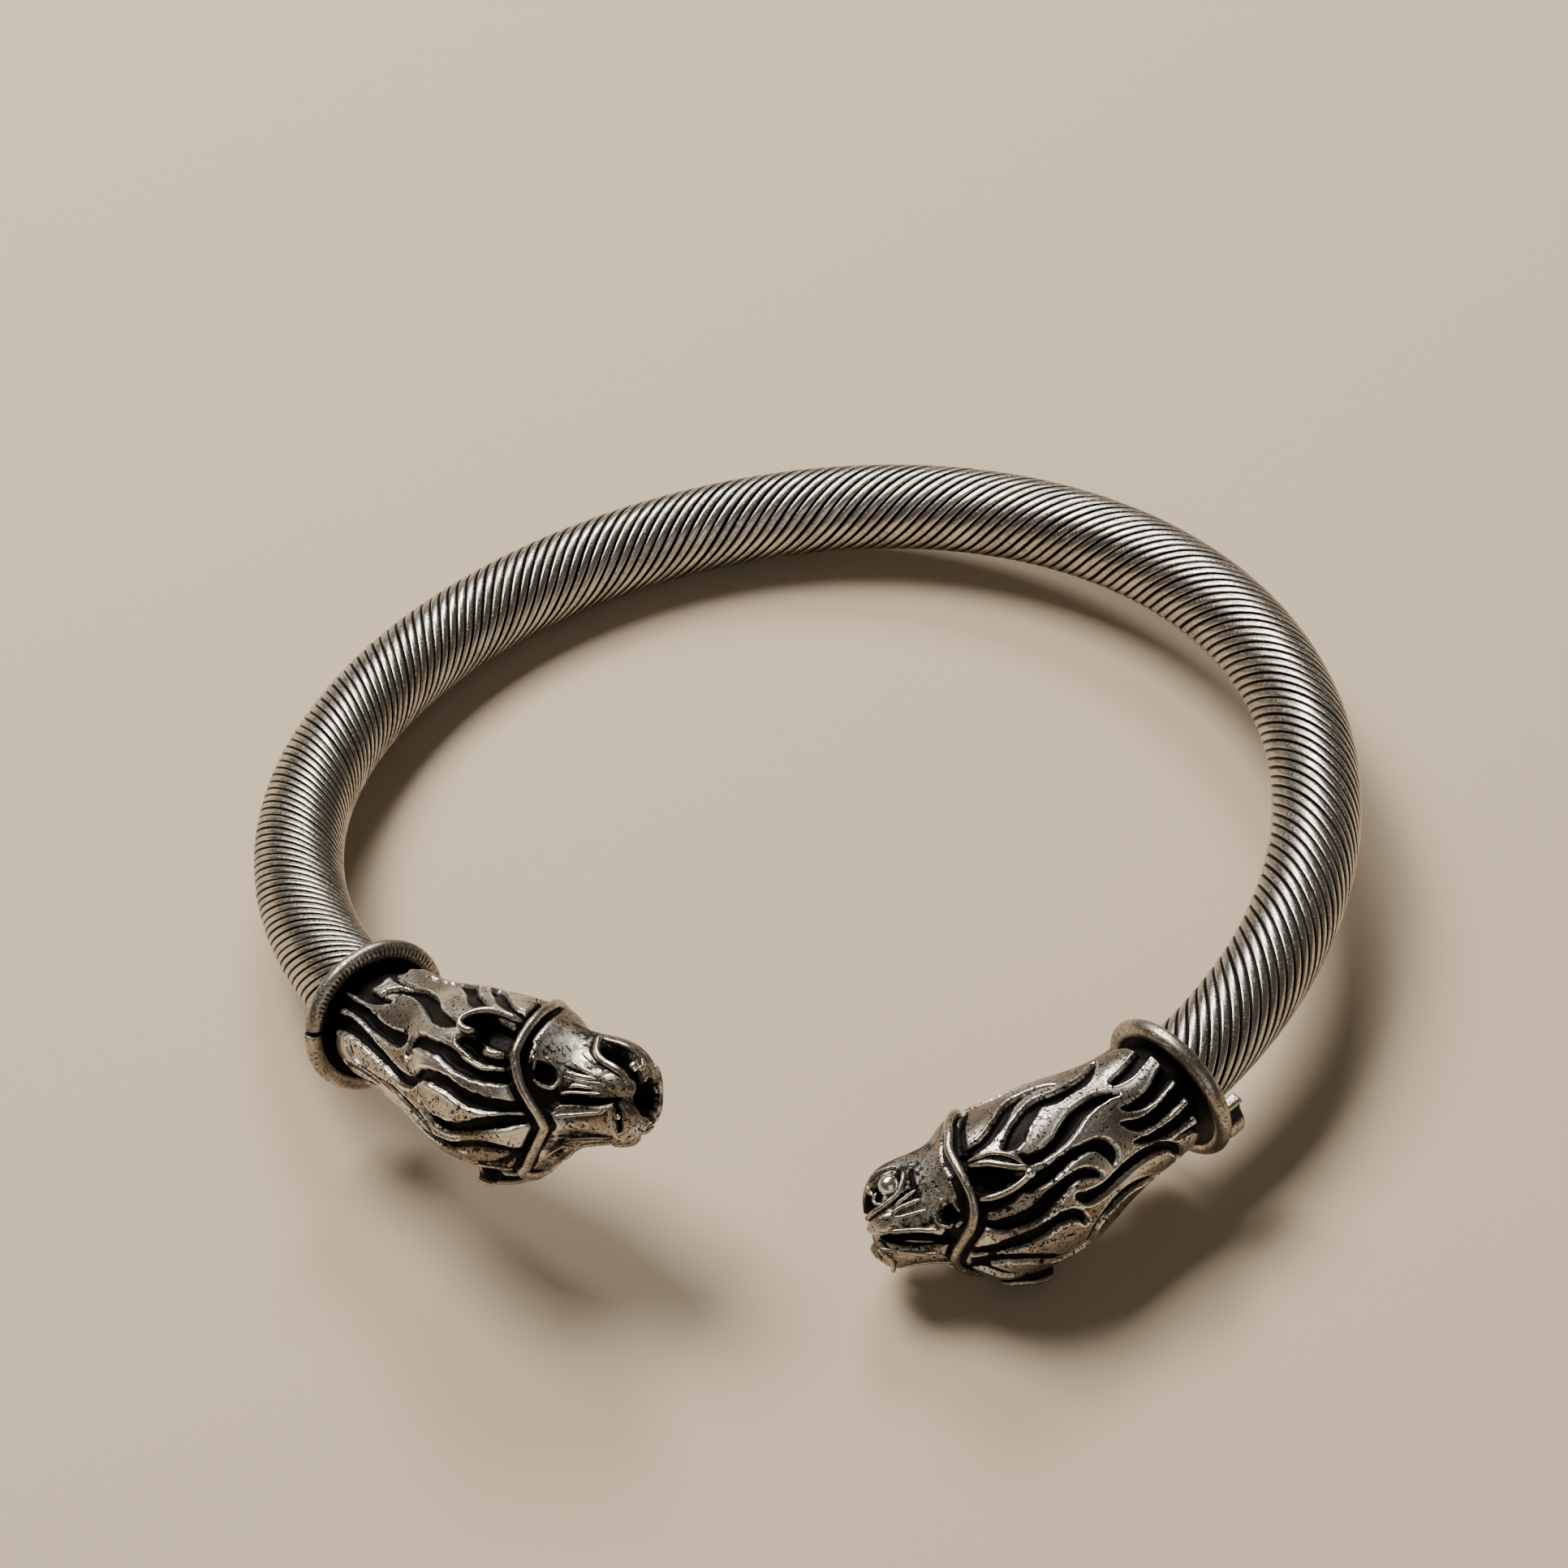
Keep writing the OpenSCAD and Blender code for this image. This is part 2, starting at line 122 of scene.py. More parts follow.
# The same of the right head's mane
RIGHT_LOCKS = [
    [(1.3, -5, .7), (1.8, 3, .7), (2.5, 7, .5), (3.2, 9.5, .3), (3.6, 10.5, .1)],
    [(3.1, -30, .45), (3.3, -14, .45), (3.7, 1, .55), (4.3, 10, .75), (5, 15, .85),
     (6, 18, .95), (7, 18.5, .9), (8, 18, .8), (9, 17.5, .7), (10, 20.5, .7), (10.5, 25, .3)],
    [(1.2, 24, 1.2), (2, 23.5, 1.2), (3, 22.5, 1.05), (4, 23.5, .9), (5, 27, .55),
     (5.6, 30.5, .4), (6, 33, .15)],
    [(1.2, 46, 1.3), (2, 44.5, 1.25), (3, 42, 1.1), (4, 40.5, 1), (5, 41.5, .85),
     (5.6, 45.5, .6), (6.1, 51, .2)],
    [(1.3, 66, 1.4), (2, 65, 1.3), (3, 60, 1), (4, 57, .9), (5, 58.5, .55), (5.6, 62, .2)],
    [(1.3, 97, 1.2), (2, 95.5, 1.2), (3, 91, 1.1), (4, 87.5, 1), (4.8, 86.5, .7),
     (5.1, 87.5, .25)],
    [(4.6, 124, .3), (5.2, 115, .55), (5.8, 107.5, .75), (6.5, 102, .85), (7, 100.5, .9),
     (8, 97, .8), (9, 94.5, 1), (10, 94.5, .85), (11, 87.5, .95), (11.5, 83.5, .9),
     (12, 78.5, 1), (12.6, 73, .8), (13.2, 71, .3)],
    [(5.3, 74, .2), (5.8, 77.5, .5), (6.4, 78.5, .75), (7, 78, .8), (8, 74.5, .9), (9, 68, .9),
     (10, 62, .75), (11, 58.5, .5), (12, 58, .45), (12.6, 60, .5)],
    [(7.7, 30, .45), (7.6, 35, .8), (7.7, 40, .9), (7.9, 45, .85), (8.4, 49, .6), (9, 50, .55),
     (10, 49.5, .6), (11, 47, .65), (12, 44.5, .7), (12.8, 44, .55), (13.3, 44.5, .3),
     (14, 41.5, .4), (15, 40.5, .5), (15.6, 41, .5)],
    [(8.8, 28, .25), (9.1, 32, .4), (9.6, 35.5, .55), (10.2, 36.8, .55), (11, 35, .65),
     (12, 31, .8), (13, 26.5, .8), (14, 25.5, .7), (15, 26.5, .6), (15.6, 29, .5)],
    [(10.5, 4, .2), (10.7, 9.5, .4), (11, 14, .6), (11.5, 15.5, .65), (12, 15.3, .6),
     (13, 12.7, .7), (14, 11.2, .8), (15, 10.8, .7), (16, 7.5, .7), (16.8, 5, .6)],
    [(4.7, -29, .7), (5.3, -20, .7), (6, -12, .7), (6.7, -5, .7), (7.5, -1, .75), (8.3, 0, .75),
     (9.2, -1.5, .6), (9.9, -6, .5), (10.3, -14, .6), (10.9, -25, 1), (11.7, -24, .9),
     (12.5, -20, .75), (13, -13.5, .7), (14, -5.5, .65), (15, 0, .65), (15.7, -.5, .6),
     (16.4, -5, .7), (17, -14, .7)],
    [(14, -33, .7), (14.7, -26, .7), (15.5, -20, .9), (16.3, -14, 1), (17, -14, .8)],
    [(8.2, 110, .25), (9, 114, .35), (10, 113.5, .5), (11, 110, .8), (11.7, 104, .85),
     (12.2, 97.5, .8), (12.7, 91.5, .75), (13.3, 86.5, .65), (14, 81.5, .6), (15, 78.5, .55),
     (15.6, 77, .5)],
    [(14.1, 128, .5), (14.5, 115, .5), (14.9, 103, .5), (15.15, 93, .5), (15.4, 83, .4)],
    [(2, 160, .7), (5, 152, .7), (8, 143, .7), (11, 136, .7), (14, 130, .4)],
    [(2, 178, .7), (6, 172, .7), (9, 165, .7), (13.8, 150, .4)]]

# Wire that crosses the brow and goes round the cheeks and the throat: (length, angle)
LEFT_BAND = [(14.2, -180), (14.3, -145), (15, -120), (15.4, -90), (15.3, -50), (15.85, -40),
             (16.4, -30), (16.9, -20), (17.45, -7), (17.45, 0), (17.25, 10), (16.9, 20),
             (16.5, 30), (16.15, 40), (15.87, 50), (15.85, 60), (15.8, 80), (15.6, 100),
             (15.4, 110), (15, 120), (14.3, 145), (14.2, 180)]
RIGHT_BAND = [(14.2, -180), (14.3, -145), (15, -120), (15.6, -90), (16.2, -60), (17, -45),
              (17.6, -30), (17.75, -20), (17.75, -10), (17.6, 0), (17.3, 10), (16.85, 20),
              (16.3, 30), (15.95, 40), (15.8, 50), (15.85, 60), (15.95, 70), (16.05, 80),
              (16.05, 90), (15.8, 100), (15.6, 110), (15.4, 120), (14.5, 145), (14.2, 180)]

# Rims of the ears, which stand up toward their tips: (thickness, points of (length, angle))
LEFT_EARS = [
    (0.45, [(15.4, 71.5), (14.6, 71.5), (13.7, 70), (12.9, 66), (12.35, 61.5), (12.2, 58),
            (12.4, 55), (12.9, 54), (13.4, 54.5)])]
RIGHT_EARS = [
    (0.45, [(15.4, 46.5), (14.6, 45.8), (13.8, 46.5), (13.1, 48.5), (12.6, 51), (12.7, 54.5),
            (13.1, 56.5), (13.7, 60.5), (14.4, 65), (15.3, 68)]),
    (0.3, [(12.7, 57), (13, 62), (13.5, 66.5), (14.2, 70), (15.3, 71)])]

# Round rims on the face: (thickness, height of the middle above the skin, points)
LEFT_RIMS = [
    (0.4, 0.1, [(14.1, 47.5), (14.6, 46.5), (15.2, 47)]),
    (0.24, 0.1, [(12.8, 40), (13.5, 38), (14.3, 36.5), (15.2, 38)]),
    (0.26, 0.22, [(17.25, 56), (17.5, 55), (17.8, 53), (18.1, 49), (18.25, 43), (18.15, 37),
                  (17.9, 32), (17.4, 33), (17, 36)]),
    (0.24, 0.1, [(16.7, 54), (16.85, 50), (16.9, 44)]),
    (0.25, 0.12, [(18.7, 62), (19.3, 59), (20, 55), (20.6, 51)]),
    (0.35, 0.12, [(18.5, 50), (19.3, 48.5), (20.5, 48)]),
    (0.2, 0.02, [(18.4, 45), (19.7, 44), (21, 44)]),
    (0.25, 0.08, [(18.8, 35), (19.3, 38), (20.3, 37)]),
    (0.18, 0.1, [(18.4, 28), (19, 30), (20, 31), (20.8, 31.5)]),
    (0.25, 0.08, [(19, 77), (19.5, 72), (20, 67)]),
    (0.26, 0.42, [(18, 7), (19, 7), (20, 9), (20.8, 11), (21.2, 15), (21.6, 19)]),
    (0.3, 0.5, [(21.5, 20), (21.45, 8), (21.45, -5), (21.45, -15), (21.5, -25)]),
    (0.3, 0.1, [(22.3, 16), (22.4, 4), (22.4, -8), (22.3, -20)]),
    (0.45, 0.15, [(19.5, 105), (19.6, 95), (19.8, 85), (20.1, 77), (20.7, 70), (21.3, 66),
                  (21.9, 60), (22.2, 52), (22.25, 42)]),
    (0.3, 0.1, [(19.6, 104), (20.2, 102), (21.2, 102), (22.3, 102)]),
    (0.4, -0.1, [(22.5, 112), (22.8, 104), (22.85, 95), (22.7, 86)]),
    (0.36, 0.0, [(22.75, -72), (22.95, -92), (22.7, -112), (22.95, -132), (22.75, -152),
                 (23, -172), (22.75, -192), (22.9, -212)])]
RIGHT_RIMS = [
    (0.24, 0.2, [(17.2, 33), (17.5, 31), (17.9, 33), (18.1, 38), (18.1, 42)]),
    (0.24, 0.12, [(16.65, 42), (16.75, 46), (16.8, 51), (16.7, 54)]),
    (0.26, 0.2, [(17.3, 52), (17.5, 55), (17.8, 50), (18, 47)]),
    (0.3, 0.12, [(18.6, 50), (19.5, 50), (20.5, 50), (20.8, 52)]),
    (0.3, 0.12, [(18.8, 63), (19.5, 62), (20.3, 60), (21, 54)]),
    (0.26, 0.1, [(18.9, 74), (19.5, 71), (20.2, 67), (20.7, 60)]),
    (0.35, 0.12, [(18.3, 28), (18.8, 28), (19.5, 31), (20.5, 34), (21.3, 36)]),
    (0.16, 0.0, [(18.8, 12), (19.6, 15), (20.5, 20)]),
    (0.26, 0.42, [(18, -3), (18.5, 1), (19.3, 1), (20, 4), (20.8, 10), (21.5, 15), (21.9, 18)]),
    (0.35, 0.5, [(21.7, -35), (21.6, -20), (21.5, -8), (21.6, 5), (22, 15)]),
    (0.35, 0.15, [(19.4, 98), (19.5, 90), (19.8, 82), (20.2, 76), (20.8, 71), (21.3, 67.5),
                  (22, 64), (22.5, 61), (22.7, 58)]),
    (0.22, 0.0, [(21.3, 70), (21.8, 75), (21.9, 82), (21.6, 88)]),
    (0.3, 0.1, [(19.8, 108), (20.2, 111), (21, 113), (22, 113)]),
    (0.3, 0.0, [(21.9, 88), (22.2, 100), (22.2, 112)])]

# Raised places of the face: (height, points of (length, angle, width))
LEFT_SWELLS = [
    (0.4, [(17.9, -3, 1.5), (19, -4, 1.8), (20, -5, 2.2), (21, -5, 2.8), (21.5, -4, 3.4)]),
    (0.3, [(21.4, 50, 1.6), (22.1, 46, 1.8), (22.7, 42, 1.4)])]
RIGHT_SWELLS = [
    (0.4, [(17.9, -13, 1.5), (19, -13, 1.8), (20, -11, 2.2), (21, -9, 2.8), (21.6, -8, 3.4)]),
    (0.3, [(21.2, 50, 1.6), (21.9, 46, 1.8), (22.5, 42, 1.4)])]

# Sunk dark places of the face: (depth, points of (length, angle, width)). Both muzzles have
# the pit round the tip.
FRONT_PIT = (1.5, [(24, -178, .9), (24, -60, 1), (24, 60, 1), (24, 178, .9)])
LEFT_HOLLOWS = [
    (0.9, [(12.7, 60, .9), (13.5, 60, 1.3), (14.5, 58.5, 1.4), (15.4, 57.5, 1.3)]),
    (0.4, [(12.4, 49, .5), (13.1, 48, .7), (13.8, 48, .5)]),
    (0.35, [(16.4, 62, .3), (16.4, 50, .4), (16.7, 38, .6), (17.1, 28, .8), (17.6, 16, .8),
            (17.9, 10, .4)]),
    (0.4, [(17.3, 44, 1.5), (17.5, 34, 1.5), (17.7, 24, 1.3), (18, 16, .7)]),
    (1.0, [(17.45, 47, .9), (17.6, 41, .9)]),
    (0.45, [(18.3, 20, .8), (19.2, 21, .9), (20.1, 21, .9), (21, 22.5, .7), (22, 26, .4)]),
    (0.25, [(18.6, 56, .25), (19.5, 53, .3), (20, 51, .15)]),
    (0.4, [(21.75, 22, .3), (21.9, 8, .3), (21.8, -3, .3), (21.75, -12, .3), (21.6, -24, .3)]),
    (0.3, [(19.1, 110, .25), (19.3, 95, .25), (19.4, 85, .25), (19.8, 77, .22), (20.4, 69, .2),
           (20.9, 66, .2), (21.2, 62, .2), (22, 54, .2)]),
    (1.7, [(20.3, 89, 1.5), (20.9, 89, 2.0), (21.6, 87, 2.1), (22.3, 80, 1.6)]),
    (1.5, [(22.2, 74, 1.5), (22.7, 68, 1.5), (23.3, 66, 1.2)]),
    (1.5, [(23.3, 74, .9), (23.25, 52, .95), (23.25, 30, .95), (23.3, 5, .9),
           (23.45, -25, .8), (23.55, -50, .7), (23.6, -75, .6)]),
    FRONT_PIT]
RIGHT_HOLLOWS = [
    (0.9, [(13.3, 56, .3), (13.8, 56, 1.0), (14.6, 57, 1.5), (15.4, 58.5, 1.4)]),
    (0.4, [(16.5, 66, .4), (16.5, 55, .4), (16.6, 44, .5), (16.9, 36, .5)]),
    (0.9, [(17.3, 44, .9), (17.5, 38, .9)]),
    (0.4, [(17.4, 36, .8), (17.6, 30, .6), (17.6, 22, .9), (18.1, 12, .9)]),
    (0.5, [(18.3, 12, 1.1), (19, 14, 1.4), (20, 18, 1.5), (21, 24, 1.4), (21.8, 26, .8)]),
    (0.35, [(22.2, -30, .3), (22.2, -14, .35), (22.2, 4, .3)]),
    (0.3, [(21.6, 8, .2), (21.9, 17, .25), (22.2, 22, .2)]),
    (0.3, [(18.9, 98, .3), (19, 86, .35), (19.1, 76, .3), (19.6, 77, .25), (20.2, 72, .3),
           (20.7, 67, .2)]),
    (1.6, [(20.2, 100, 1.0), (20.8, 92, 2.1), (21.5, 92, 1.9), (22.2, 80, 1.6)]),
    (1.5, [(22, 74, 1.0), (22.5, 76, 1.6), (23, 76, 1.6), (23.4, 74, 1.2)]),
    (1.6, [(23.3, 76, 1.1), (23.35, 50, 1.1), (23.4, 25, 1.05), (23.45, 0, 1.0),
           (23.5, -25, .9), (23.55, -50, .8), (23.6, -75, .7)]),
    FRONT_PIT]

# Beads: (length, angle, height of the middle, radius)
LEFT_BEADS = [(21.8, 3, 0.1, 0.2), (22.5, 88, -0.3, 0.35)]
RIGHT_BEADS = [(20.6, 91, -0.1, 0.72), (21.1, 79, -0.3, 0.25), (12.6, 51, 0.9, 0.34)]

# Each head's tables, by the side of the ring that it is on
HEAD_TABLES = {
    1: (LEFT_NECK, LEFT_LOCKS, LEFT_BAND, LEFT_EARS, LEFT_RIMS, LEFT_SWELLS, LEFT_HOLLOWS,
        LEFT_BEADS),
    -1: (RIGHT_NECK, RIGHT_LOCKS, RIGHT_BAND, RIGHT_EARS, RIGHT_RIMS, RIGHT_SWELLS,
         RIGHT_HOLLOWS, RIGHT_BEADS)}

# Least and greatest pace of the waves that make an unevenness
PACES = (0.6, 1.6)

# Unevenness on a head's chart: (radians of a wave per mm along, radians per degree round,
# number of waves, seed)
RAGGED, ROUGH, CLOUDED = (2.4, 0.19, 9, 21), (9, 0.7, 9, 27), (0.9, 0.07, 6, 5)

# Relief of a head, in mm. Where its comment says nothing else, a pair is where a smooth step
# starts and where it is full, by the distance inside an outline.
CARVE_REACH = 1.6  # how far beside a line the chart is carved
CARVE_STEPS = 4  # steps of a line from point to point
FAR_OUTSIDE = -2.0  # the distance that stands for no groove nearby
LOCK_WALL, LOCK_DARK = (-0.1, 0.14), (-0.07, 0.07)  # a groove's wall and its patina's edge
LOCK_TORN = (0.03, 0.025)  # ragged and rough unevenness of a groove's edge
FLOOR_UNEVEN = 0.15  # unevenness of a groove's floor, as a share of its depth
# A groove's edge also turns brighter; that brightness is partly worn metal, partly a painted
# highlight.
EDGE_PLACE, EDGE_SPREAD, EDGE_WEAR_AND_HIGHLIGHT = 0.12, 0.1, 0.5  # the raised bright edge of a groove
BELLY, BELLY_SPREAD, BELLY_REACH = 0.12, 0.45, 2  # the swell of a lock between its grooves
NECK_TORN, NECK_DROP, NECK_WALL = 0.2, 0.15, (-0.2, 0.3)  # the dark hollow at the neck
MANE_END = (16.2, 17.2)  # lengths between which the mane turns into the face
FACE_TORN = (0.1, 0.04)  # ragged and rough unevenness of the face's patina
SWELL_REACH, SWELL_POWER, SWELL_SHINE = 3, 4, 0.6  # the raised places of the face
MOAT_WIDTH, MOAT_REACH, MOAT_DEPTH = 1.3, 1.4, 0.3  # the dark gap under the brow band
HOLLOW_WALL, HOLLOW_DARK = (-0.1, 0.25), (-0.08, 0.1)  # a hollow's wall and its patina's edge
EAR_WALL, EAR_REACH, EAR_WIDTH = (-0.12, 0.1), 1.2, 0.8  # the wall under an ear's rim
EAR_DROP, EAR_DARK = 0.1, 0.9  # how far the wall stays under the rim, and its patina
EAR_BAND, EAR_LENGTH = 15.6, 2.8  # length at which an ear starts, and how far it goes back

# Wires: points from step to step and round the wire, mm by which a second line lies above the
# wire to show which way is up, thickness left at the ends, steps over which they taper
WIRE_STEPS, WIRE_SIDES, WIRE_ABOVE, WIRE_ENDS, WIRE_TAPER = 10, 14, 0.5, 0.45, 0.7

# Height of the brow band's middle above the skin, in mm
BAND_LIFT = 0.1

# Waver of a wire's thickness: its share, points per radian of a wave, number of waves
WIRE_WAVER, WIRE_PACE, WIRE_WAVES = 0.04, 9, 4

# Points along and round a bead, and along and round the solder tab
BEAD_ROWS, BEAD_SIDES, TAB_ROWS, TAB_SIDES = 26, 40, 26, 48

# Collars: points round the ring and across the rim's wire, degrees of the wire's cover, and
# degrees round the wire between which it turns dark at the back
COLLAR_STEPS, RIM_STEPS, RIM_COVER, RIM_SHADE = 1440, 40, 158, (105, 150)

# Unevenness of the rims: radians of a wave on the ring's radius, number of waves, seed, share
# of the wire's thickness, mm of the rim's radius
RIM_PACE, RIM_WAVES, RIM_SEED, RIM_UNEVEN, RIM_WAVER = 2, 5, 11, 0.05, 0.03

# Distances of a collar's two inner edges behind the head, in mm
WASHER_BACK, WASHER_FRONT = 0.8, 0.1

# Rope notches of the left rim: degrees from up toward the outside between which they fade in
# and out, cosines of their phase between which they deepen, degrees of their place and spread
# round the wire, and depth in mm
NOTCHES_START, NOTCHES_END, NOTCH_EDGE = (-75, -60), (52, 62), (0.1, 0.8)
NOTCH_FACE, NOTCH_SPREAD, NOTCH_DEPTH = 84, 26, 0.16

# Unevenness of the notches: radians of their place, their mean depth and what it varies by.
# They are dark by a share, from a depth in mm.
NOTCH_WAVER, NOTCH_MEAN, NOTCH_VARY, NOTCH_SHADE, NOTCH_DARK = 2.5, 0.75, 0.4, 0.9, 0.09

# Open seam of the left rim: its place in degrees, its depth in mm, its edges as shares of its
# width
SEAM_PLACE, SEAM_DEPTH, SEAM_EDGES = 73, 0.45, (0.25, 0.65)

# Solder tab: half sizes away from the rod, along it and round it, the place of its middle
# from the rod's line and behind the rim, all in mm, and the power that makes it blunt
TAB_TALL, TAB_DEEP, TAB_WIDE, TAB_OUT, TAB_BACK, TAB_POWER = 0.48, 0.75, 1.55, 4.6, 1.2, 0.35

# Slot across the tab: its place, its edges, its depth and the height where it starts, in mm
SLOT_PLACE, SLOT_EDGES, SLOT_DEPTH, SLOT_START = 0.7, (0.25, 0.5), 0.5, 0.2

# Unevenness of the flutes: radians of a wave per flute, degrees of twist per radian, number of
# waves, seed, share of the flutes' depth, mm of their radius
FLUTE_PACE, TWIST_PACE, FLUTE_WAVES, FLUTE_SEED = 1.7, 40, 6, 3
FLUTE_UNEVEN, FLUTE_WAVER = 0.08, 0.006

# Dark groove between two flutes: shares of the way from a flute's top down into it between
# which it turns dark, and their unevenness
GROOVE_DARK, GROOVE_UNEVEN = (0.48, 0.8), 0.06

# Worn side of a flute: its place and spread as shares of that way, and the darkness it loses
WORN_PLACE, WORN_SPREAD, WORN_SHARE = 0.5, 0.16, 0.25

# Recess and tarnish of whole pieces. Recess is 0 on bare metal, 1 in the black patina and less
# than 0 on worn edges, whose brighter metal is partly a painted highlight, and tarnish makes the
# bare metal duller; on a casting's jaw side part of it is painted shade.
ROD_TARNISH, RIM_TARNISH, WIRE_TARNISH, BEAD_TARNISH = 0.2, 0.5, 0.45, -1.0
TAB_RECESS, TAB_TARNISH, WIRE_RECESS, BEAD_RECESS = 0.3, 0.4, 0.05, -0.3

# Tarnish of a casting: its mean, what it varies by, and then painted shade: what the shown side
# of the jaw has more, as it faces up to the dim room, and the degrees from the crown between which
# that grows
CAST_TARNISH, CAST_VARY, JAW_PAINTED_SHADE, JAW_SHADE_REACH = 0.45, 0.4, 0.35, (80, 120)

# Noises of the silver: (waves per metre, detail, roughness, distortion)
BROAD_NOISE, RAGGED_NOISE, FINE_NOISE = (420, 3, 0.55, 0), (3800, 4, 0.65, 0), (9000, 3, 0.7, 0)
SMALL_PITS, LARGE_PITS = (5200, 2, 0.5, 0.4), (2300, 3, 0.6, 0.8)

# Where each layer of the silver's finish starts and where it is full
PATINA_STEP, EDGE_STEP, DULL_STEP = (0.36, 0.58), (0.12, 0.42), (0.32, 0.88)
PATCH_STEP, SMALL_PIT_STEP, LARGE_PIT_STEP = (0.40, 0.62), (0.575, 0.62), (0.60, 0.64)

# How much less metallic the patina is, and the shine of what isn't metal
PATINA_COVER, PATINA_SHINE = 0.8, 0.12

# Shares of the noises and layers in the patina, the patches of pits, the dull metal, the
# roughness and the bump
PATINA_BROAD, PATCH_TARNISH = 0.25, 0.35
DULL_BROAD, DULL_TARNISH, DULL_RAGGED = 0.7, 0.65, 0.6
ROUGH_RAGGED, ROUGH_BROAD, ROUGH_DARK, ROUGH_EDGE = 0.2, 0.16, 0.12, 0.1
BUMP_FINE, BUMP_DARK, BUMP_RAGGED, BUMP_PITS = 0.25, 0.9, 0.5, 1.2

# Square area lights: (name, place, side, colour), in metres
LIGHTS = [("key", (-0.30, 0.22, 0.62), 0.34, (1.0, 0.96, 0.9)),
          ("back", (-0.06, 0.55, 0.52), 0.2, (1.0, 0.98, 0.95)),
          ("fill", (0.25, -0.6, 0.35), 0.5, (1.0, 0.97, 0.94))]
ROOM_COLOUR = (1.0, 0.94, 0.86, 1)
FLOOR_ROUGHNESS, FLOOR_SHINE = 0.9, 0.2

# Width of the camera's sensor in mm, and where its view starts in metres
SENSOR, CLIP_START = 36.0, 0.01


def smooth_step(x, low, high):
    """Goes from 0 at low to 1 at high with flat ends: 3u^2 - 2u^3 of the clamped share u."""
    u = np.clip((x - low) / (high - low), 0.0, 1.0)
    return u * u * (3 - 2 * u)


def through_points(points, per_step):
    """Curve through the points: a cubic on each step whose slope at a point is half of the
    difference of its two neighbours (a Catmull-Rom spline). Returns rows of points."""
    p = np.asarray(points, float)
    ends = np.vstack([2 * p[0] - p[1], p, 2 * p[-1] - p[-2]])
    u = np.arange(per_step)[:, None, None] / per_step
    a, b, c, d = ends[:-3], ends[1:-2], ends[2:-1], ends[3:]
    curve = 0.5 * (2 * b + (c - a) * u + (2 * a - 5 * b + 4 * c - d) * u ** 2
                   + (3 * b - a - 3 * c + d) * u ** 3)
    return np.vstack([curve.transpose(1, 0, 2).reshape(-1, p.shape[1]), p[-1:]])


def smooth_lookup(x, table):
    """Columns of a table read at x with cubic pieces. A knot's slope is the mean of the slopes
    on its two sides, where the shorter side counts more."""
    t = np.asarray(table, float)
    knots, values = t[:, 0], t[:, 1:]
    slopes = np.gradient(values, knots, axis=0)
    i = np.clip(np.searchsorted(knots, x, side="right") - 1, 0, len(knots) - 2)
    width = (knots[i + 1] - knots[i])[:, None]
    u = ((x - knots[i]) / width[:, 0])[:, None]
    return ((1 + 2 * u) * (1 - u) ** 2 * values[i] + u * (1 - u) ** 2 * width * slopes[i]
            + u * u * (3 - 2 * u) * values[i + 1] + u * u * (u - 1) * width * slopes[i + 1])


def wander(x, y, waves, seed):
    """Slow unevenness, mostly between -1.5 and 1.5: the sum of sine waves over the root of
    their number. Directions, phases and paces come from a seeded generator."""
    rng = np.random.default_rng(seed)
    total = np.zeros(np.broadcast(x, y).shape)
    for _ in range(waves):
        angle, phase, pace = rng.uniform(0, 2 * np.pi, 2).tolist() + [rng.uniform(*PACES)]
        total += np.sin(pace * (x * math.cos(angle) + y * math.sin(angle)) + phase)
    return total / math.sqrt(waves)


class Ring:
    """The bangle's bent line. At t degrees from the back, positive toward the left head, its
    plan radius is R - b2 sin 2t - b3 sin 3t and its rise k1 t + k3 t^3 with t in radians. The
    ring leans and is set down as it rests on the ground."""

    def __init__(self, settings):
        self.settings = settings

    def line(self, t):
        """Points of the middle line before the ring is set down, one for each t."""
        s = self.settings
        a = np.radians(t)
        radius = s.radius - s.bend_two * np.sin(2 * a) - s.bend_three * np.sin(3 * a)
        rise = s.spring_rise * a + s.spring_curl * a ** 3
        return np.stack([-radius * np.sin(a), radius * np.cos(a), rise], -1)

    def frames(self, t):
        """Unit vectors along, outward and upward at each t: the chord over one degree, the
        plan's radius made square to it, and their cross product."""
        along = self.line(t + 0.5) - self.line(t - 0.5)
        along /= np.linalg.norm(along, axis=-1, keepdims=True)
        a = np.radians(t)
        out = np.stack([-np.sin(a), np.cos(a), 0 * a], -1)
        out -= (out * along).sum(-1, keepdims=True) * along
        out /= np.linalg.norm(out, axis=-1, keepdims=True)
        return along, out, np.cross(out, along)

    def degree_length(self, t):
        """Length of one degree of the middle line at t."""
        return np.linalg.norm(self.line(t + 0.5) - self.line(t - 0.5), axis=-1)

    def collar_place(self, kada, side):
        """Angle of a collar's front on the ring, and its distance from the end angle."""
        place = 0.0 if side > 0 else kada.collar.right_place
        end = np.array([side * self.settings.collar_angle], float)
        return end + side * place / self.degree_length(end), place

    def set_down(self, points):
        """Turns points by the lean to the back, then to the left, and moves them."""
        s = self.settings
        b, c = s.lean_back, s.lean_left
        back = np.array([[1, 0, 0], [0, math.cos(b), -math.sin(b)], [0, math.sin(b), math.cos(b)]])
        left = np.array([[math.cos(c), 0, math.sin(c)], [0, 1, 0], [-math.sin(c), 0, math.cos(c)]])
        return points @ (left @ back).T + np.array(s.shift)

    def place(self, t, radius, angle):
        """Points at a radius and an angle, from upward toward outward, round the line at t.
        The three arrays have one shape, and the points add an axis of three."""
        along, out, up = self.frames(t)
        a = np.radians(angle)[..., None]
        return self.set_down(self.line(t) + radius[..., None] * (np.cos(a) * up + np.sin(a) * out))


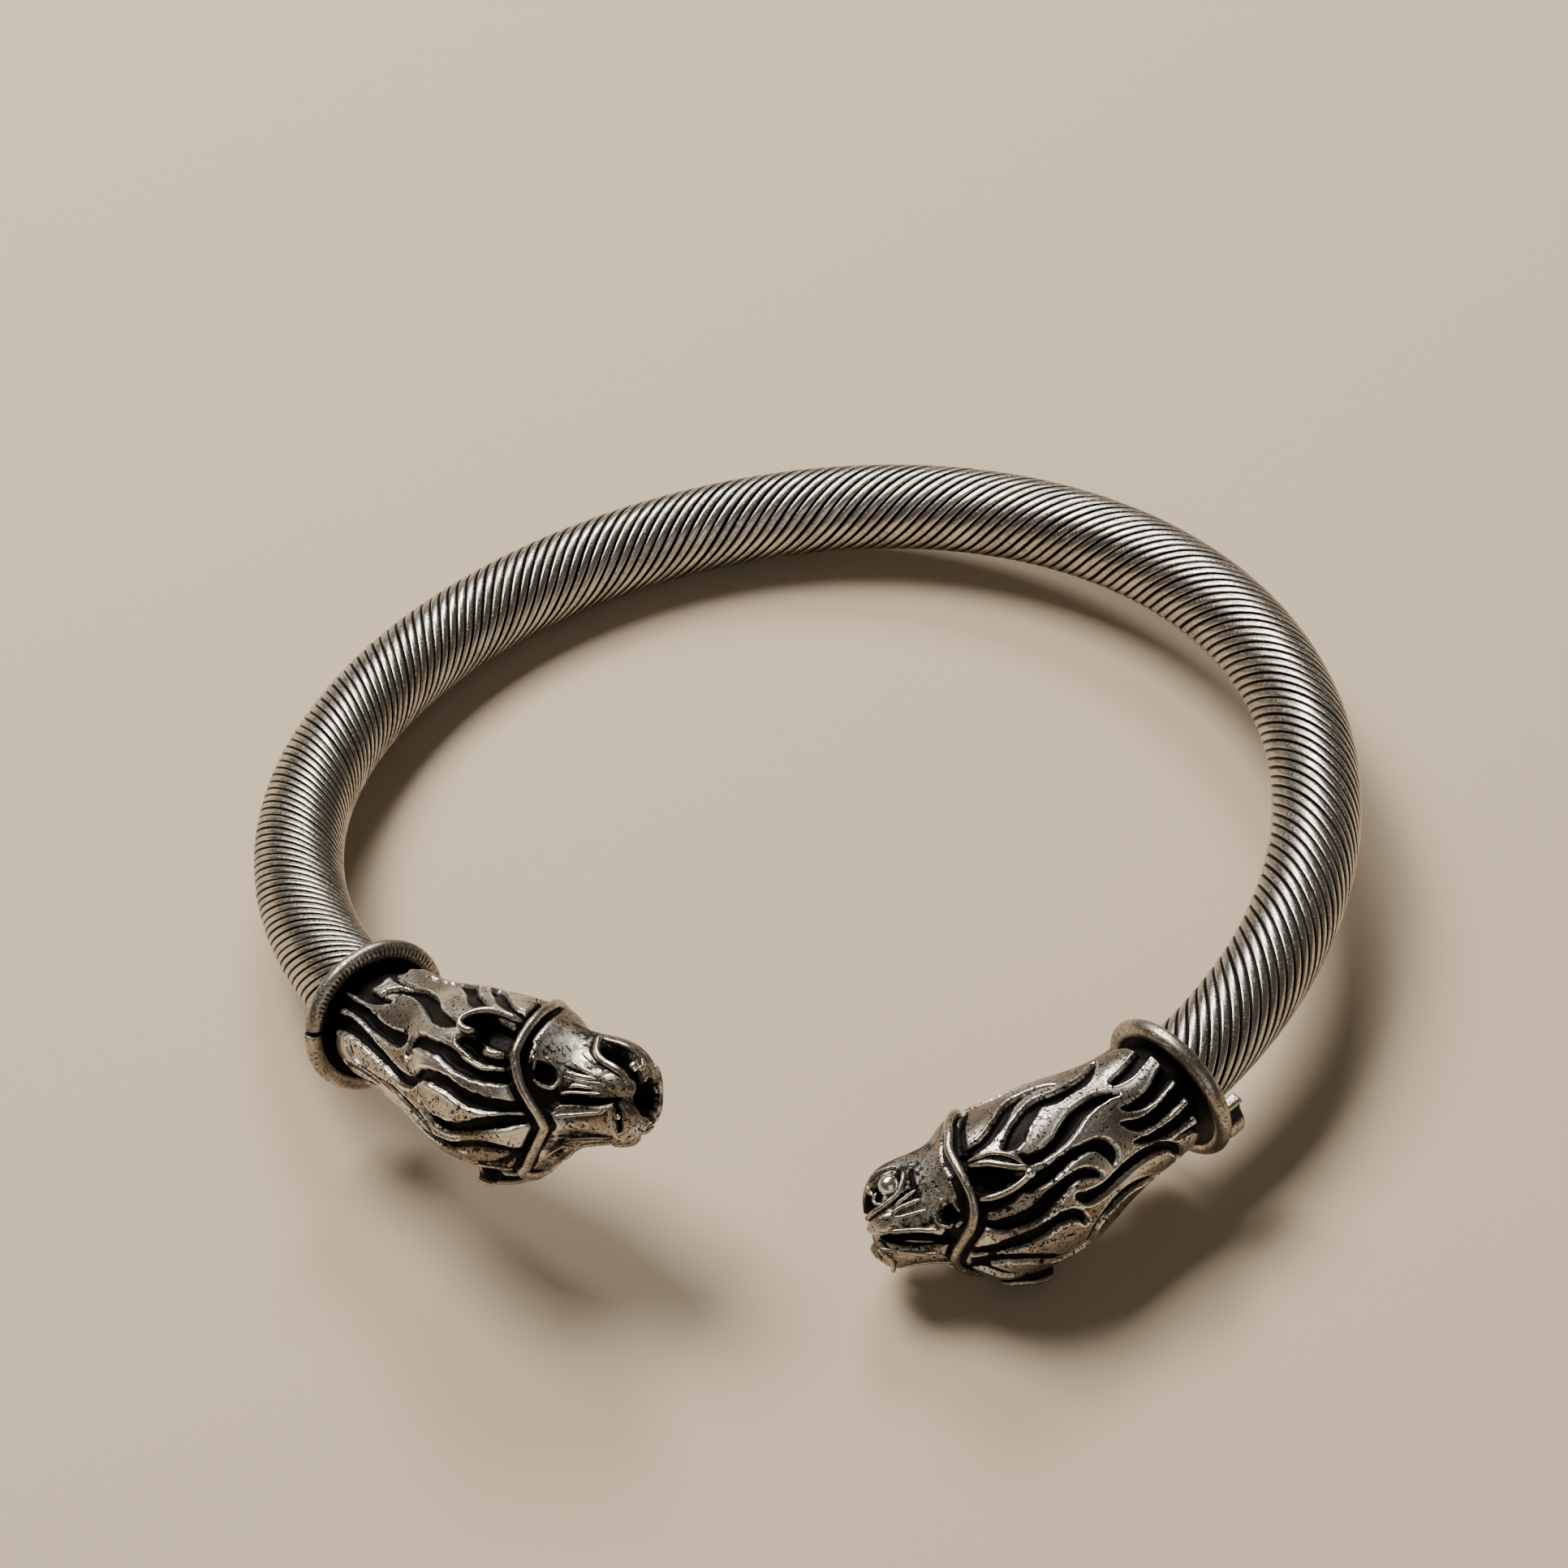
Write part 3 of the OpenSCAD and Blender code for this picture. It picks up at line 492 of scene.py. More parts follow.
class HeadChart:
    """A head's skin on a chart of length s from the collar and angle q from the crown, where
    positive q is the animal's right. Rows are lengths and columns are angles."""

    def __init__(self, rows, columns, degree):
        self.s = rows
        self.q = columns
        self.degree = degree
        self.height = np.zeros((len(rows), len(columns)))
        self.dark = np.zeros_like(self.height)

    def window(self, path, reach):
        """Index of the chart's part within reach of a path, and its rows and columns."""
        low, high = path.min(0) - reach, path.max(0) + reach
        rows = np.flatnonzero((self.s > low[0]) & (self.s < high[0]))
        across = self.q * self.degree
        columns = np.flatnonzero((across > low[1]) & (across < high[1]))
        return np.ix_(rows, columns), rows, columns

    def inside(self, points, reach):
        """How far each point near a path lies inside its outline: half of the path's width
        there minus the distance to the path. The points are (length, angle, width)."""
        path = through_points(np.array(points, float) * [1, self.degree, 0.5], CARVE_STEPS)
        widths = np.maximum(path[:, 2], 0)
        part, rows, columns = self.window(path[:, :2], reach)
        s, across = self.s[rows][:, None], (self.q * self.degree)[columns][None, :]
        best = np.full((len(rows), len(columns)), -np.inf)
        for a, b, wa, wb in zip(path[:-1], path[1:], widths[:-1], widths[1:]):
            step = b[:2] - a[:2]
            u = ((s - a[0]) * step[0] + (across - a[1]) * step[1]) / (step @ step + 1e-12)
            u = np.clip(u, 0, 1)
            gap = np.hypot(s - a[0] - u * step[0], across - a[1] - u * step[1])
            best = np.maximum(best, wa + (wb - wa) * u - gap)
        return part, best


def closed_tube(centres, side_way, lift_way, radii, sides):
    """Vertices and faces of a tube: circles round the centres in the plane of two unit ways,
    with a point at both ends. Angle v gives centre + radius (cos v side + sin v lift)."""
    v = np.linspace(0, 2 * np.pi, sides, endpoint=False)[None, :, None]
    ring = centres[:, None] + radii[:, None, None] * (
        np.cos(v) * side_way[:, None] + np.sin(v) * lift_way[:, None])
    return capped_grid(ring, centres[0], centres[-1])


def capped_grid(grid, first_pole, last_pole):
    """Vertices and faces of a closed skin: rows of points joined round and along, with a fan
    from a pole to the first row and from the last row to the other pole."""
    rows, columns = grid.shape[:2]
    points = np.vstack([grid.reshape(-1, 3), first_pole, last_pole])
    i, j = np.meshgrid(np.arange(rows - 1), np.arange(columns), indexing="ij")
    k = (j + 1) % columns
    quads = np.stack([i * columns + j, i * columns + k, (i + 1) * columns + k,
                      (i + 1) * columns + j], -1).reshape(-1, 4)
    j = np.arange(columns)
    k = (j + 1) % columns
    last = (rows - 1) * columns
    start = np.stack([np.full(columns, rows * columns), k, j], -1)
    end = np.stack([np.full(columns, rows * columns + 1), last + j, last + k], -1)
    return points, quads, np.vstack([start, end])


def outward(points, quads, triangles):
    """The faces with their corners' order reversed if the volume they enclose is negative."""
    p = points - points.mean(0)
    a, b, c = (p[triangles[:, k]] for k in range(3))
    d, e, f, g = (p[quads[:, k]] for k in range(4))
    volume = sum((np.cross(u, v) * w).sum() for u, v, w in ((a, b, c), (d, e, f), (d, f, g)))
    return (quads[:, ::-1], triangles[:, ::-1]) if volume < 0 else (quads, triangles)


def make_piece(name, parts, finish, nodes=()):
    """One smooth mesh object from parts of (points, quads, triangles, recess, tarnish), with its
    faces turned outward; a casting's tarnish holds painted shade on its jaw side. It rides on the
    body, and stands for the CAD nodes named."""
    points, quads, triangles, recess, tarnish = [], [], [], [], []
    offset = 0
    for p, q, t, dark, dull_and_shade in parts:
        q, t = outward(p, q, t)
        points.append(p)
        quads.append(q + offset)
        triangles.append(t + offset)
        recess.append(np.broadcast_to(dark, len(p)))
        tarnish.append(np.broadcast_to(dull_and_shade, len(p)))
        offset += len(p)
    points, quads, triangles = np.vstack(points), np.vstack(quads), np.vstack(triangles)
    mesh = bpy.data.meshes.new(name)
    mesh.vertices.add(len(points))
    mesh.vertices.foreach_set("co", points.astype(np.float32).ravel())
    corners = np.concatenate([quads.ravel(), triangles.ravel()]).astype(np.int32)
    mesh.loops.add(len(corners))
    mesh.loops.foreach_set("vertex_index", corners)
    sizes = np.concatenate([np.full(len(quads), 4), np.full(len(triangles), 3)]).astype(np.int32)
    starts = np.concatenate([[0], np.cumsum(sizes)[:-1]]).astype(np.int32)
    mesh.polygons.add(len(sizes))
    mesh.polygons.foreach_set("loop_start", starts)
    mesh.polygons.foreach_set("use_smooth", np.ones(len(sizes), bool))
    mesh.update(calc_edges=True)
    mesh.validate()
    for label, values in (("recess", recess), ("tarnish", tarnish)):
        layer = mesh.attributes.new(label, "FLOAT", "POINT")
        layer.data.foreach_set("value", np.concatenate(values).astype(np.float32))
    mesh.materials.append(finish)
    piece = bpy.data.objects.new(name, mesh)
    bpy.context.scene.collection.objects.link(piece)
    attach(piece, BODY)
    if nodes:
        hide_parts(*nodes)
    return piece


class Signal:
    """A socket of a material's nodes. Sums, differences and products of signals and numbers
    add Math nodes."""

    def __init__(self, finish, socket):
        self.finish = finish
        self.socket = socket

    def math(self, operation, first, second):
        return self.finish.node("ShaderNodeMath", {"operation": operation}, {0: first, 1: second})

    def __add__(self, other):
        return self.math("ADD", self, other)

    def __radd__(self, other):
        return self.math("ADD", other, self)

    def __sub__(self, other):
        return self.math("SUBTRACT", self, other)

    def __rsub__(self, other):
        return self.math("SUBTRACT", other, self)

    def __mul__(self, other):
        return self.math("MULTIPLY", self, other)

    def __rmul__(self, other):
        return self.math("MULTIPLY", other, self)

    def above(self, other):
        """The larger of two values."""
        return self.math("MAXIMUM", self, other)

    def step(self, low, high):
        """Goes smoothly from 0 at low to 1 at high."""
        return self.finish.node(
            "ShaderNodeMapRange", {"interpolation_type": "SMOOTHSTEP"},
            {"Value": self, "From Min": low, "From Max": high, "To Min": 0.0, "To Max": 1.0})


class Finish:
    """A material being made: its Principled shader, and a method that adds any node."""

    def __init__(self, name):
        self.material = bpy.data.materials.new(name)
        self.material.use_nodes = True
        self.tree = self.material.node_tree
        self.shader = self.tree.nodes["Principled BSDF"]

    def node(self, kind, settings, links, output=0):
        """Adds a node, gives it its settings first and then its sockets' values or links."""
        made = self.tree.nodes.new(kind)
        for key, value in settings.items():
            setattr(made, key, value)
        for key, value in links.items():
            if isinstance(value, Signal):
                self.tree.links.new(value.socket, made.inputs[key])
            else:
                made.inputs[key].default_value = value
        return Signal(self, made.outputs[output])

    def noise(self, scale, detail, roughness, distortion):
        """Fractal noise from 0 to 1 on Object coordinates, scale in waves per metre."""
        place = self.node("ShaderNodeTexCoord", {}, {}, "Object")
        return self.node("ShaderNodeTexNoise", {}, {
            "Vector": place, "Scale": scale, "Detail": detail, "Roughness": roughness,
            "Distortion": distortion})

    def attribute(self, name):
        """A number stored on the mesh's points."""
        return self.node("ShaderNodeAttribute", {"attribute_name": name}, {}, "Fac")

    def blend(self, share, first, second):
        """Mixes two colours."""
        return self.node("ShaderNodeMix", {"data_type": "RGBA"},
                         {0: share, 6: first, 7: second}, 2)

    def into(self, name, value):
        """Sets or links one socket of the shader."""
        if isinstance(value, Signal):
            self.tree.links.new(value.socket, self.shader.inputs[name])
        else:
            self.shader.inputs[name].default_value = value

    def bump(self, height, depth):
        """Feeds the shader's normal from a height whose full range is depth, in metres."""
        self.into("Normal", self.node("ShaderNodeBump", {}, {
            "Strength": 1.0, "Distance": depth, "Height": height}))


def rgba(colour):
    """A colour property as four numbers."""
    return (*colour, 1.0)


def antiqued(name, look, pit_share, tone, rough):
    """Antiqued silver: bright metal where the recess attribute is low, and a black patina where
    it is high, with a ragged edge between them. Where the recess is below 0 the metal takes the
    bright worn colour, which along groove edges is partly a painted highlight. Where the tarnish
    attribute is high, the metal is duller and has more dark pits; the darker warm metal this gives
    a casting's jaw side is painted shade."""
    f = Finish(name)
    broad, ragged, fine = (f.noise(*n) for n in (BROAD_NOISE, RAGGED_NOISE, FINE_NOISE))
    recess, tarnish = f.attribute("recess"), f.attribute("tarnish")
    patina = (recess + (ragged - 0.5) * look.ragged
              + (broad - 0.5) * PATINA_BROAD).step(*PATINA_STEP)
    patches = (broad + tarnish * PATCH_TARNISH).step(*PATCH_STEP)
    small, large = f.noise(*SMALL_PITS), f.noise(*LARGE_PITS)
    pits = small.step(*SMALL_PIT_STEP).above(large.step(*LARGE_PIT_STEP)) * patches * pit_share
    dark = patina.above(pits)
    # The worn colour where recess is below 0: partly real wear, partly a painted highlight on
    # edges.
    edge = (0 - recess).step(*EDGE_STEP)
    # Share of the darker warm silver: tarnish, and on a casting's jaw side painted shade.
    dull_and_shade = (broad * DULL_BROAD + tarnish * DULL_TARNISH
            + (ragged - 0.5) * DULL_RAGGED).step(*DULL_STEP)
    cloud_and_shade = f.blend(dull_and_shade, rgba(np.array(look.silver) * tone),
                     rgba(np.array(look.warm_silver) * tone))
    worn = f.blend(edge, cloud_and_shade, rgba(look.worn))
    f.into("Base Color", f.blend(dark, worn, rgba(look.patina)))
    f.into("Metallic", 1 - dark * PATINA_COVER)
    f.into("Specular IOR Level", PATINA_SHINE)
    f.into("Roughness", rough + (ragged - 0.5) * ROUGH_RAGGED + (broad - 0.5) * ROUGH_BROAD
           + dark * ROUGH_DARK - edge * ROUGH_EDGE)
    f.bump(fine * (BUMP_FINE + dark * BUMP_DARK) + ragged * BUMP_RAGGED
           + (1 - pits) * BUMP_PITS, look.grain_depth)
    return f.material


def number(name, description, default, low=None, high=None, **more):
    """A number property, with its limits where it has any."""
    limits = {} if low is None else {"min": low, "max": high}
    return FloatProperty(name=name, description=description, default=default, **limits, **more)


def count(name, description, default, **limits):
    """A whole number property."""
    return IntProperty(name=name, description=description, default=default, **limits)


def length(name, description, default, *limits):
    """A length property in metres, given in millimetres."""
    return number(name, description, default * MM, *(v * MM for v in limits), unit="LENGTH",
                  subtype="DISTANCE", precision=5)


def move(name, description, default):
    """A property of two or three lengths in metres, given in millimetres."""
    return FloatVectorProperty(name=name, description=description, size=len(default),
                               default=[v * MM for v in default], unit="LENGTH")


def angle(name, description, degrees):
    """An angle property, given in degrees."""
    return number(name, description, math.radians(degrees), unit="ROTATION", subtype="ANGLE")


def colour(name, description, default):
    """A colour property."""
    return FloatVectorProperty(name=name, description=description, default=default,
                               subtype="COLOR", min=0, max=1)


class RingSettings(bpy.types.PropertyGroup):
    radius: length("Radius", "Ring radius at the middle of the rod", 34.4, 30, 40)
    bend_two: length("Two-wave bend", "Sideways bend with two waves round the ring", 0.19)
    bend_three: length("Three-wave bend", "Sideways bend with three waves round the ring", 0.4)
    spring_rise: length("Rise", "Rise of the ring toward its left end, for each radian", 0.67)
    spring_curl: length("Curl", "Extra rise of both ends, for each radian cubed", 0.14)
    lean_back: angle("Lean back", "Lean of the resting ring to the back", -4.76)
    lean_left: angle("Lean left", "Lean of the resting ring to the left", -5.623)
    shift: move("Shift", "Move that centres the outline over the origin", (0.405, 0.085, 6.798))
    collar_angle: number("Collar angle", "Degrees from the back to each collar", 132, 120, 138)


class RodSettings(bpy.types.PropertyGroup):
    radius: length("Radius", "Radius of the rod over the flutes", 3.05, 2, 4)
    depth: length("Flute depth", "Depth of the groove between two flutes", 0.24, 0.1, 0.4)
    flutes: count("Flutes", "Flutes round the rod", 20, min=12, max=24)
    roundness: number("Roundness", "Power of a flute's rounded side", 4.2, 1.5, 6)
    end_gap: number("End gap", "Degrees between the rod's end and the collar's front", 1.2)
    rows: count("Rows", "Rows of points along the rod", 400)


class CollarSettings(bpy.types.PropertyGroup):
    radius: length("Radius", "Radius of the middle of the rim", 4.66, 4.2, 5.2)
    wire: length("Rim", "Radius of the rim's wire", 0.6, 0.4, 0.8)
    inner: length("Inner radius", "Radius of the hole for the rod", 2.7)
    seam: length("Seam", "Width of the open seam in the left rim", 0.28)
    set_back: length("Set-back", "Distance of the rim's middle behind the head", 0.35)
    right_place: length("Right place", "Distance of the right collar in front of its end angle",
                        0.8)
    left_shift: move("Left shift", "Move of the left rim upward and outward", (-0.14, 0.38))
    right_shift: move("Right shift", "Move of the right rim upward and outward", (-0.29, 0.25))
    notches: count("Notches", "Rope notches in a full turn", 96)
    tab_angle: number("Tab angle", "Degrees of the solder tab from up toward the outside", 95)


class HeadSettings(bpy.types.PropertyGroup):
    left_turn: number("Left turn", "Degrees of the left crown's turn from up toward the outside",
                      79)
    right_turn: number("Right turn", "Degrees of the right crown's turn from up toward the "
                       "outside", 97)
    degree: length("Chart degree", "Width of a degree on the head's chart", 0.08)
    lock_depth: length("Lock depth", "Depth of the grooves between the mane's locks", 0.55)
    lip: length("Lip", "Height of the raised edge along a groove", 0.06)
    band: length("Band", "Thickness of the wire over the brow", 0.62)
    face_dark: number("Face patina", "Darkness left on the face's skin", 0.47, 0, 1)
    ear_root: length("Ear root", "Height of the ear's rim at the band", 0.3)
    ear_tip: length("Ear tip", "Height of the ear's rim at its tip", 0.85)
    right_muzzle: number("Right muzzle", "Length of the right head's muzzle as a share of the "
                         "left one's", 0.91)
    mirror_from: number("Mirror from", "Least angle from the crown of the face lines that both "
                        "sides have", 20)
    far_from: number("Far locks from", "Least angle from the crown of the locks taken over for "
                     "a far side", 38)
    rows: count("Rows", "Rows of points along a head", 276)
    columns: count("Columns", "Points round a head", 352)


class LookSettings(bpy.types.PropertyGroup):
    silver: colour("Silver", "Polished metal", (0.74, 0.69, 0.60))
    # Darker warm metal: thin tarnish, and painted shade on a casting's jaw side.
    warm_silver: colour("Warm silver", "Metal with a thin warm tarnish", (0.27, 0.225, 0.175))
    # The worn colour: bright rubbed metal; along the mane's groove edges it is also a painted
    # highlight.
    worn: colour("Worn metal", "Bright metal of the worn edges", (0.96, 0.94, 0.89))
    patina: colour("Patina", "Black antiquing in the recesses", (0.005, 0.0045, 0.004))
    ragged: number("Ragged edge", "Unevenness of the patina's edge", 0.45, 0, 1)
    grain_depth: length("Grain", "Depth of the cast metal's grain", 0.02)


class StageSettings(bpy.types.PropertyGroup):
    floor: colour("Floor", "Plain pale floor", (0.575, 0.462, 0.335))
    floor_size: length("Floor size", "Side of the square floor", 3000)
    focal: number("Focal length", "Camera focal length in mm", 131.4)
    aim: move("Aim", "Point in the middle of the picture", (-1.74, 2.72, 7))
    distance: length("Distance", "Distance from the camera to the aim", 389.7)
    elevation: angle("Elevation", "Height of the camera above the horizon", 44.888)
    azimuth: angle("Azimuth", "Turn of the camera round the object", 7.267)
    roll: angle("Roll", "Turn of the camera about its line of sight", -2.246)
    key_power: number("Key power", "Power of the large soft light", 7.6, unit="POWER")
    back_power: number("Back power", "Power of the light behind", 3.2, unit="POWER")
    fill_power: number("Fill power", "Power of the weak fill light", 0.6, unit="POWER")
    world: number("Room light", "Brightness of the dim room", 0.08)


class KadaSettings(bpy.types.PropertyGroup):
    ring: PointerProperty(type=RingSettings)
    rod: PointerProperty(type=RodSettings)
    collar: PointerProperty(type=CollarSettings)
    head: PointerProperty(type=HeadSettings)
    look: PointerProperty(type=LookSettings)
    stage: PointerProperty(type=StageSettings)


def fluted_rod(kada):
    """Rod skin: rows along the ring, columns sheared so that each stays on one flute. The
    radius is R - depth (1 - x)^p, where x goes from 0 in the groove to 1 on the flute."""
    ring, rod = Ring(kada.ring), kada.rod
    first, last = (float(ring.collar_place(kada, side)[0][0]) - side * rod.end_gap
                   for side in (1, -1))
    t = np.linspace(first, last, rod.rows)
    share = np.linspace(0, 1, rod.rows)
    spacing = np.interp(share, *np.array(FLUTE_SPACING).T) * MM
    step = np.abs(np.gradient(t)) * ring.degree_length(t)
    turn = np.concatenate([[0], np.cumsum((step / spacing)[:-1])]) * 360 / rod.flutes
    phase = (np.arange(rod.flutes)[:, None] + np.array(FLUTE_COLUMNS)[None, :]).ravel()
    x = np.abs(2 * (phase % 1) - 1)
    sunk = np.clip(1 - x, 0, 1)[None, :] ** rod.roundness
    uneven = wander(phase[None, :] * FLUTE_PACE, turn[:, None] / TWIST_PACE, FLUTE_WAVES,
                    FLUTE_SEED)
    radius = rod.radius - rod.depth * sunk * (1 + FLUTE_UNEVEN * uneven) \
        + FLUTE_WAVER * MM * uneven
    places = ring.place(np.repeat(t[:, None], len(phase), 1), radius,
                        turn[:, None] + phase[None, :] * 360 / rod.flutes)
    poles = ring.set_down(ring.line(t[[0, -1]]))
    points, quads, triangles = capped_grid(places, poles[0], poles[1])
    worn = WORN_SHARE * np.exp(-(((x - WORN_PLACE) / WORN_SPREAD) ** 2))[None, :]
    groove = smooth_step(1 - x[None, :] + GROOVE_UNEVEN * uneven, *GROOVE_DARK) - worn
    return points, quads, triangles, np.append(groove.ravel(), [1, 1]), ROD_TARNISH


def rim_cuts(sizes, around, v, uneven):
    """Depth of the cuts in the left rim, over the turn and the angle v round its wire: rope
    notches on the front over a part of the turn, and the open seam."""
    turn = (around + 180) % 360 - 180
    reach = smooth_step(turn, *NOTCHES_START) * (1 - smooth_step(turn, *NOTCHES_END))
    phase = np.radians(around) * sizes.notches + NOTCH_WAVER * uneven
    rope = smooth_step(np.cos(phase), *NOTCH_EDGE) * reach * (NOTCH_MEAN + NOTCH_VARY * uneven)
    front = np.exp(-(((v - np.radians(NOTCH_FACE)) / np.radians(NOTCH_SPREAD)) ** 2))
    notch = rope[:, None] * front[None, :] * NOTCH_DEPTH * MM
    seam = np.abs(turn - SEAM_PLACE) * np.radians(1) * sizes.radius
    open_seam = 1 - smooth_step(seam, *(sizes.seam * edge for edge in SEAM_EDGES))
    return notch + SEAM_DEPTH * MM * open_seam[:, None]


def collar(kada, side):
    """Collar: a profile of washer and round rim carried round the rod. The rim's radius and
    wire vary a little with the angle, and the left one has rope notches and an open seam."""
    ring, sizes = Ring(kada.ring), kada.collar
    around = np.linspace(0, 360, COLLAR_STEPS, endpoint=False)
    v = np.linspace(np.radians(-RIM_COVER), np.radians(RIM_COVER), RIM_STEPS)
    t0, _ = ring.collar_place(kada, side)
    a = np.radians(around)
    uneven = wander(np.cos(a) * RIM_PACE, np.sin(a) * RIM_PACE, RIM_WAVES, RIM_SEED + side)
    cuts = rim_cuts(sizes, around, v, uneven) if side > 0 else np.zeros((len(around), len(v)))
    rim = (sizes.wire * (1 + RIM_UNEVEN * uneven))[:, None] - cuts
    one = np.ones((len(around), 1))
    radial = sizes.radius + RIM_WAVER * MM * uneven[:, None] + rim * np.cos(v)[None, :]
    radial = np.hstack([sizes.inner * one, radial, sizes.inner * one])
    axial = -sizes.set_back + rim * np.sin(v)[None, :]
    axial = np.hstack([-WASHER_BACK * MM * one, axial, -WASHER_FRONT * MM * one])
    along, out, up = (w[0] for w in ring.frames(t0))
    a = a[:, None, None]
    move_up, move_out = sizes.left_shift if side > 0 else sizes.right_shift
    on_rim = np.ones(radial.shape[1])
    on_rim[[0, -1]] = 0
    grid = ring.line(t0)[0] + radial[..., None] * (np.cos(a) * up + np.sin(a) * out) \
        + (side * axial)[..., None] * along + on_rim[:, None] * (move_up * up + move_out * out)
    grid = ring.set_down(grid)
    rows, columns = grid.shape[:2]
    i, j = np.meshgrid(np.arange(rows), np.arange(columns), indexing="ij")
    i2, j2 = (i + 1) % rows, (j + 1) % columns
    quads = np.stack([i * columns + j, i2 * columns + j, i2 * columns + j2, i * columns + j2], -1)
    shade = smooth_step(np.abs(v), *np.radians(RIM_SHADE))[None, :]
    dark = np.maximum(np.clip(cuts / (NOTCH_DARK * MM), 0, 1) * NOTCH_SHADE, shade)
    dark = np.hstack([one, dark, one]).ravel()
    return grid.reshape(-1, 3), quads.reshape(-1, 4), np.zeros((0, 3), int), dark, RIM_TARNISH


def solder_tab(kada):
    """Small rounded block of solder behind the right rim: a superellipsoid with a slot."""
    ring = Ring(kada.ring)
    u = np.linspace(-np.pi / 2, np.pi / 2, TAB_ROWS)[1:-1]
    v = np.linspace(0, 2 * np.pi, TAB_SIDES, endpoint=False)

    def blunt(x):
        return np.sign(x) * np.abs(x) ** TAB_POWER

    cu, su = blunt(np.cos(u))[:, None], blunt(np.sin(u))[:, None]
    tall = TAB_TALL * MM * cu * blunt(np.cos(v))[None, :]
    deep = TAB_DEEP * MM * cu * blunt(np.sin(v))[None, :]
    wide = TAB_WIDE * MM * su + 0 * tall
    slot = smooth_step(np.abs(wide + SLOT_PLACE * MM), *(edge * MM for edge in SLOT_EDGES))
    tall = np.where(tall > SLOT_START * MM, tall - (1 - slot) * SLOT_DEPTH * MM, tall)
    t0, _ = ring.collar_place(kada, -1)
    along, out, up = (w[0] for w in ring.frames(t0))
    a = math.radians(kada.collar.tab_angle)
    radial_way, round_way = np.cos(a) * up + np.sin(a) * out, np.cos(a) * out - np.sin(a) * up
    move_up, move_out = kada.collar.right_shift
    centre = ring.line(t0)[0] + TAB_OUT * MM * radial_way + TAB_BACK * MM * along \
        + move_up * up + move_out * out
    grid = centre + tall[..., None] * radial_way + wide[..., None] * round_way \
        + deep[..., None] * along
    end = TAB_WIDE * MM * round_way
    poles = ring.set_down(np.array([centre - end, centre + end]))
    points, quads, triangles = capped_grid(ring.set_down(grid), *poles)
    dark = np.append((1 - slot).ravel(), [0, 0]) + TAB_RECESS
    return points, quads, triangles, dark, TAB_TARNISH


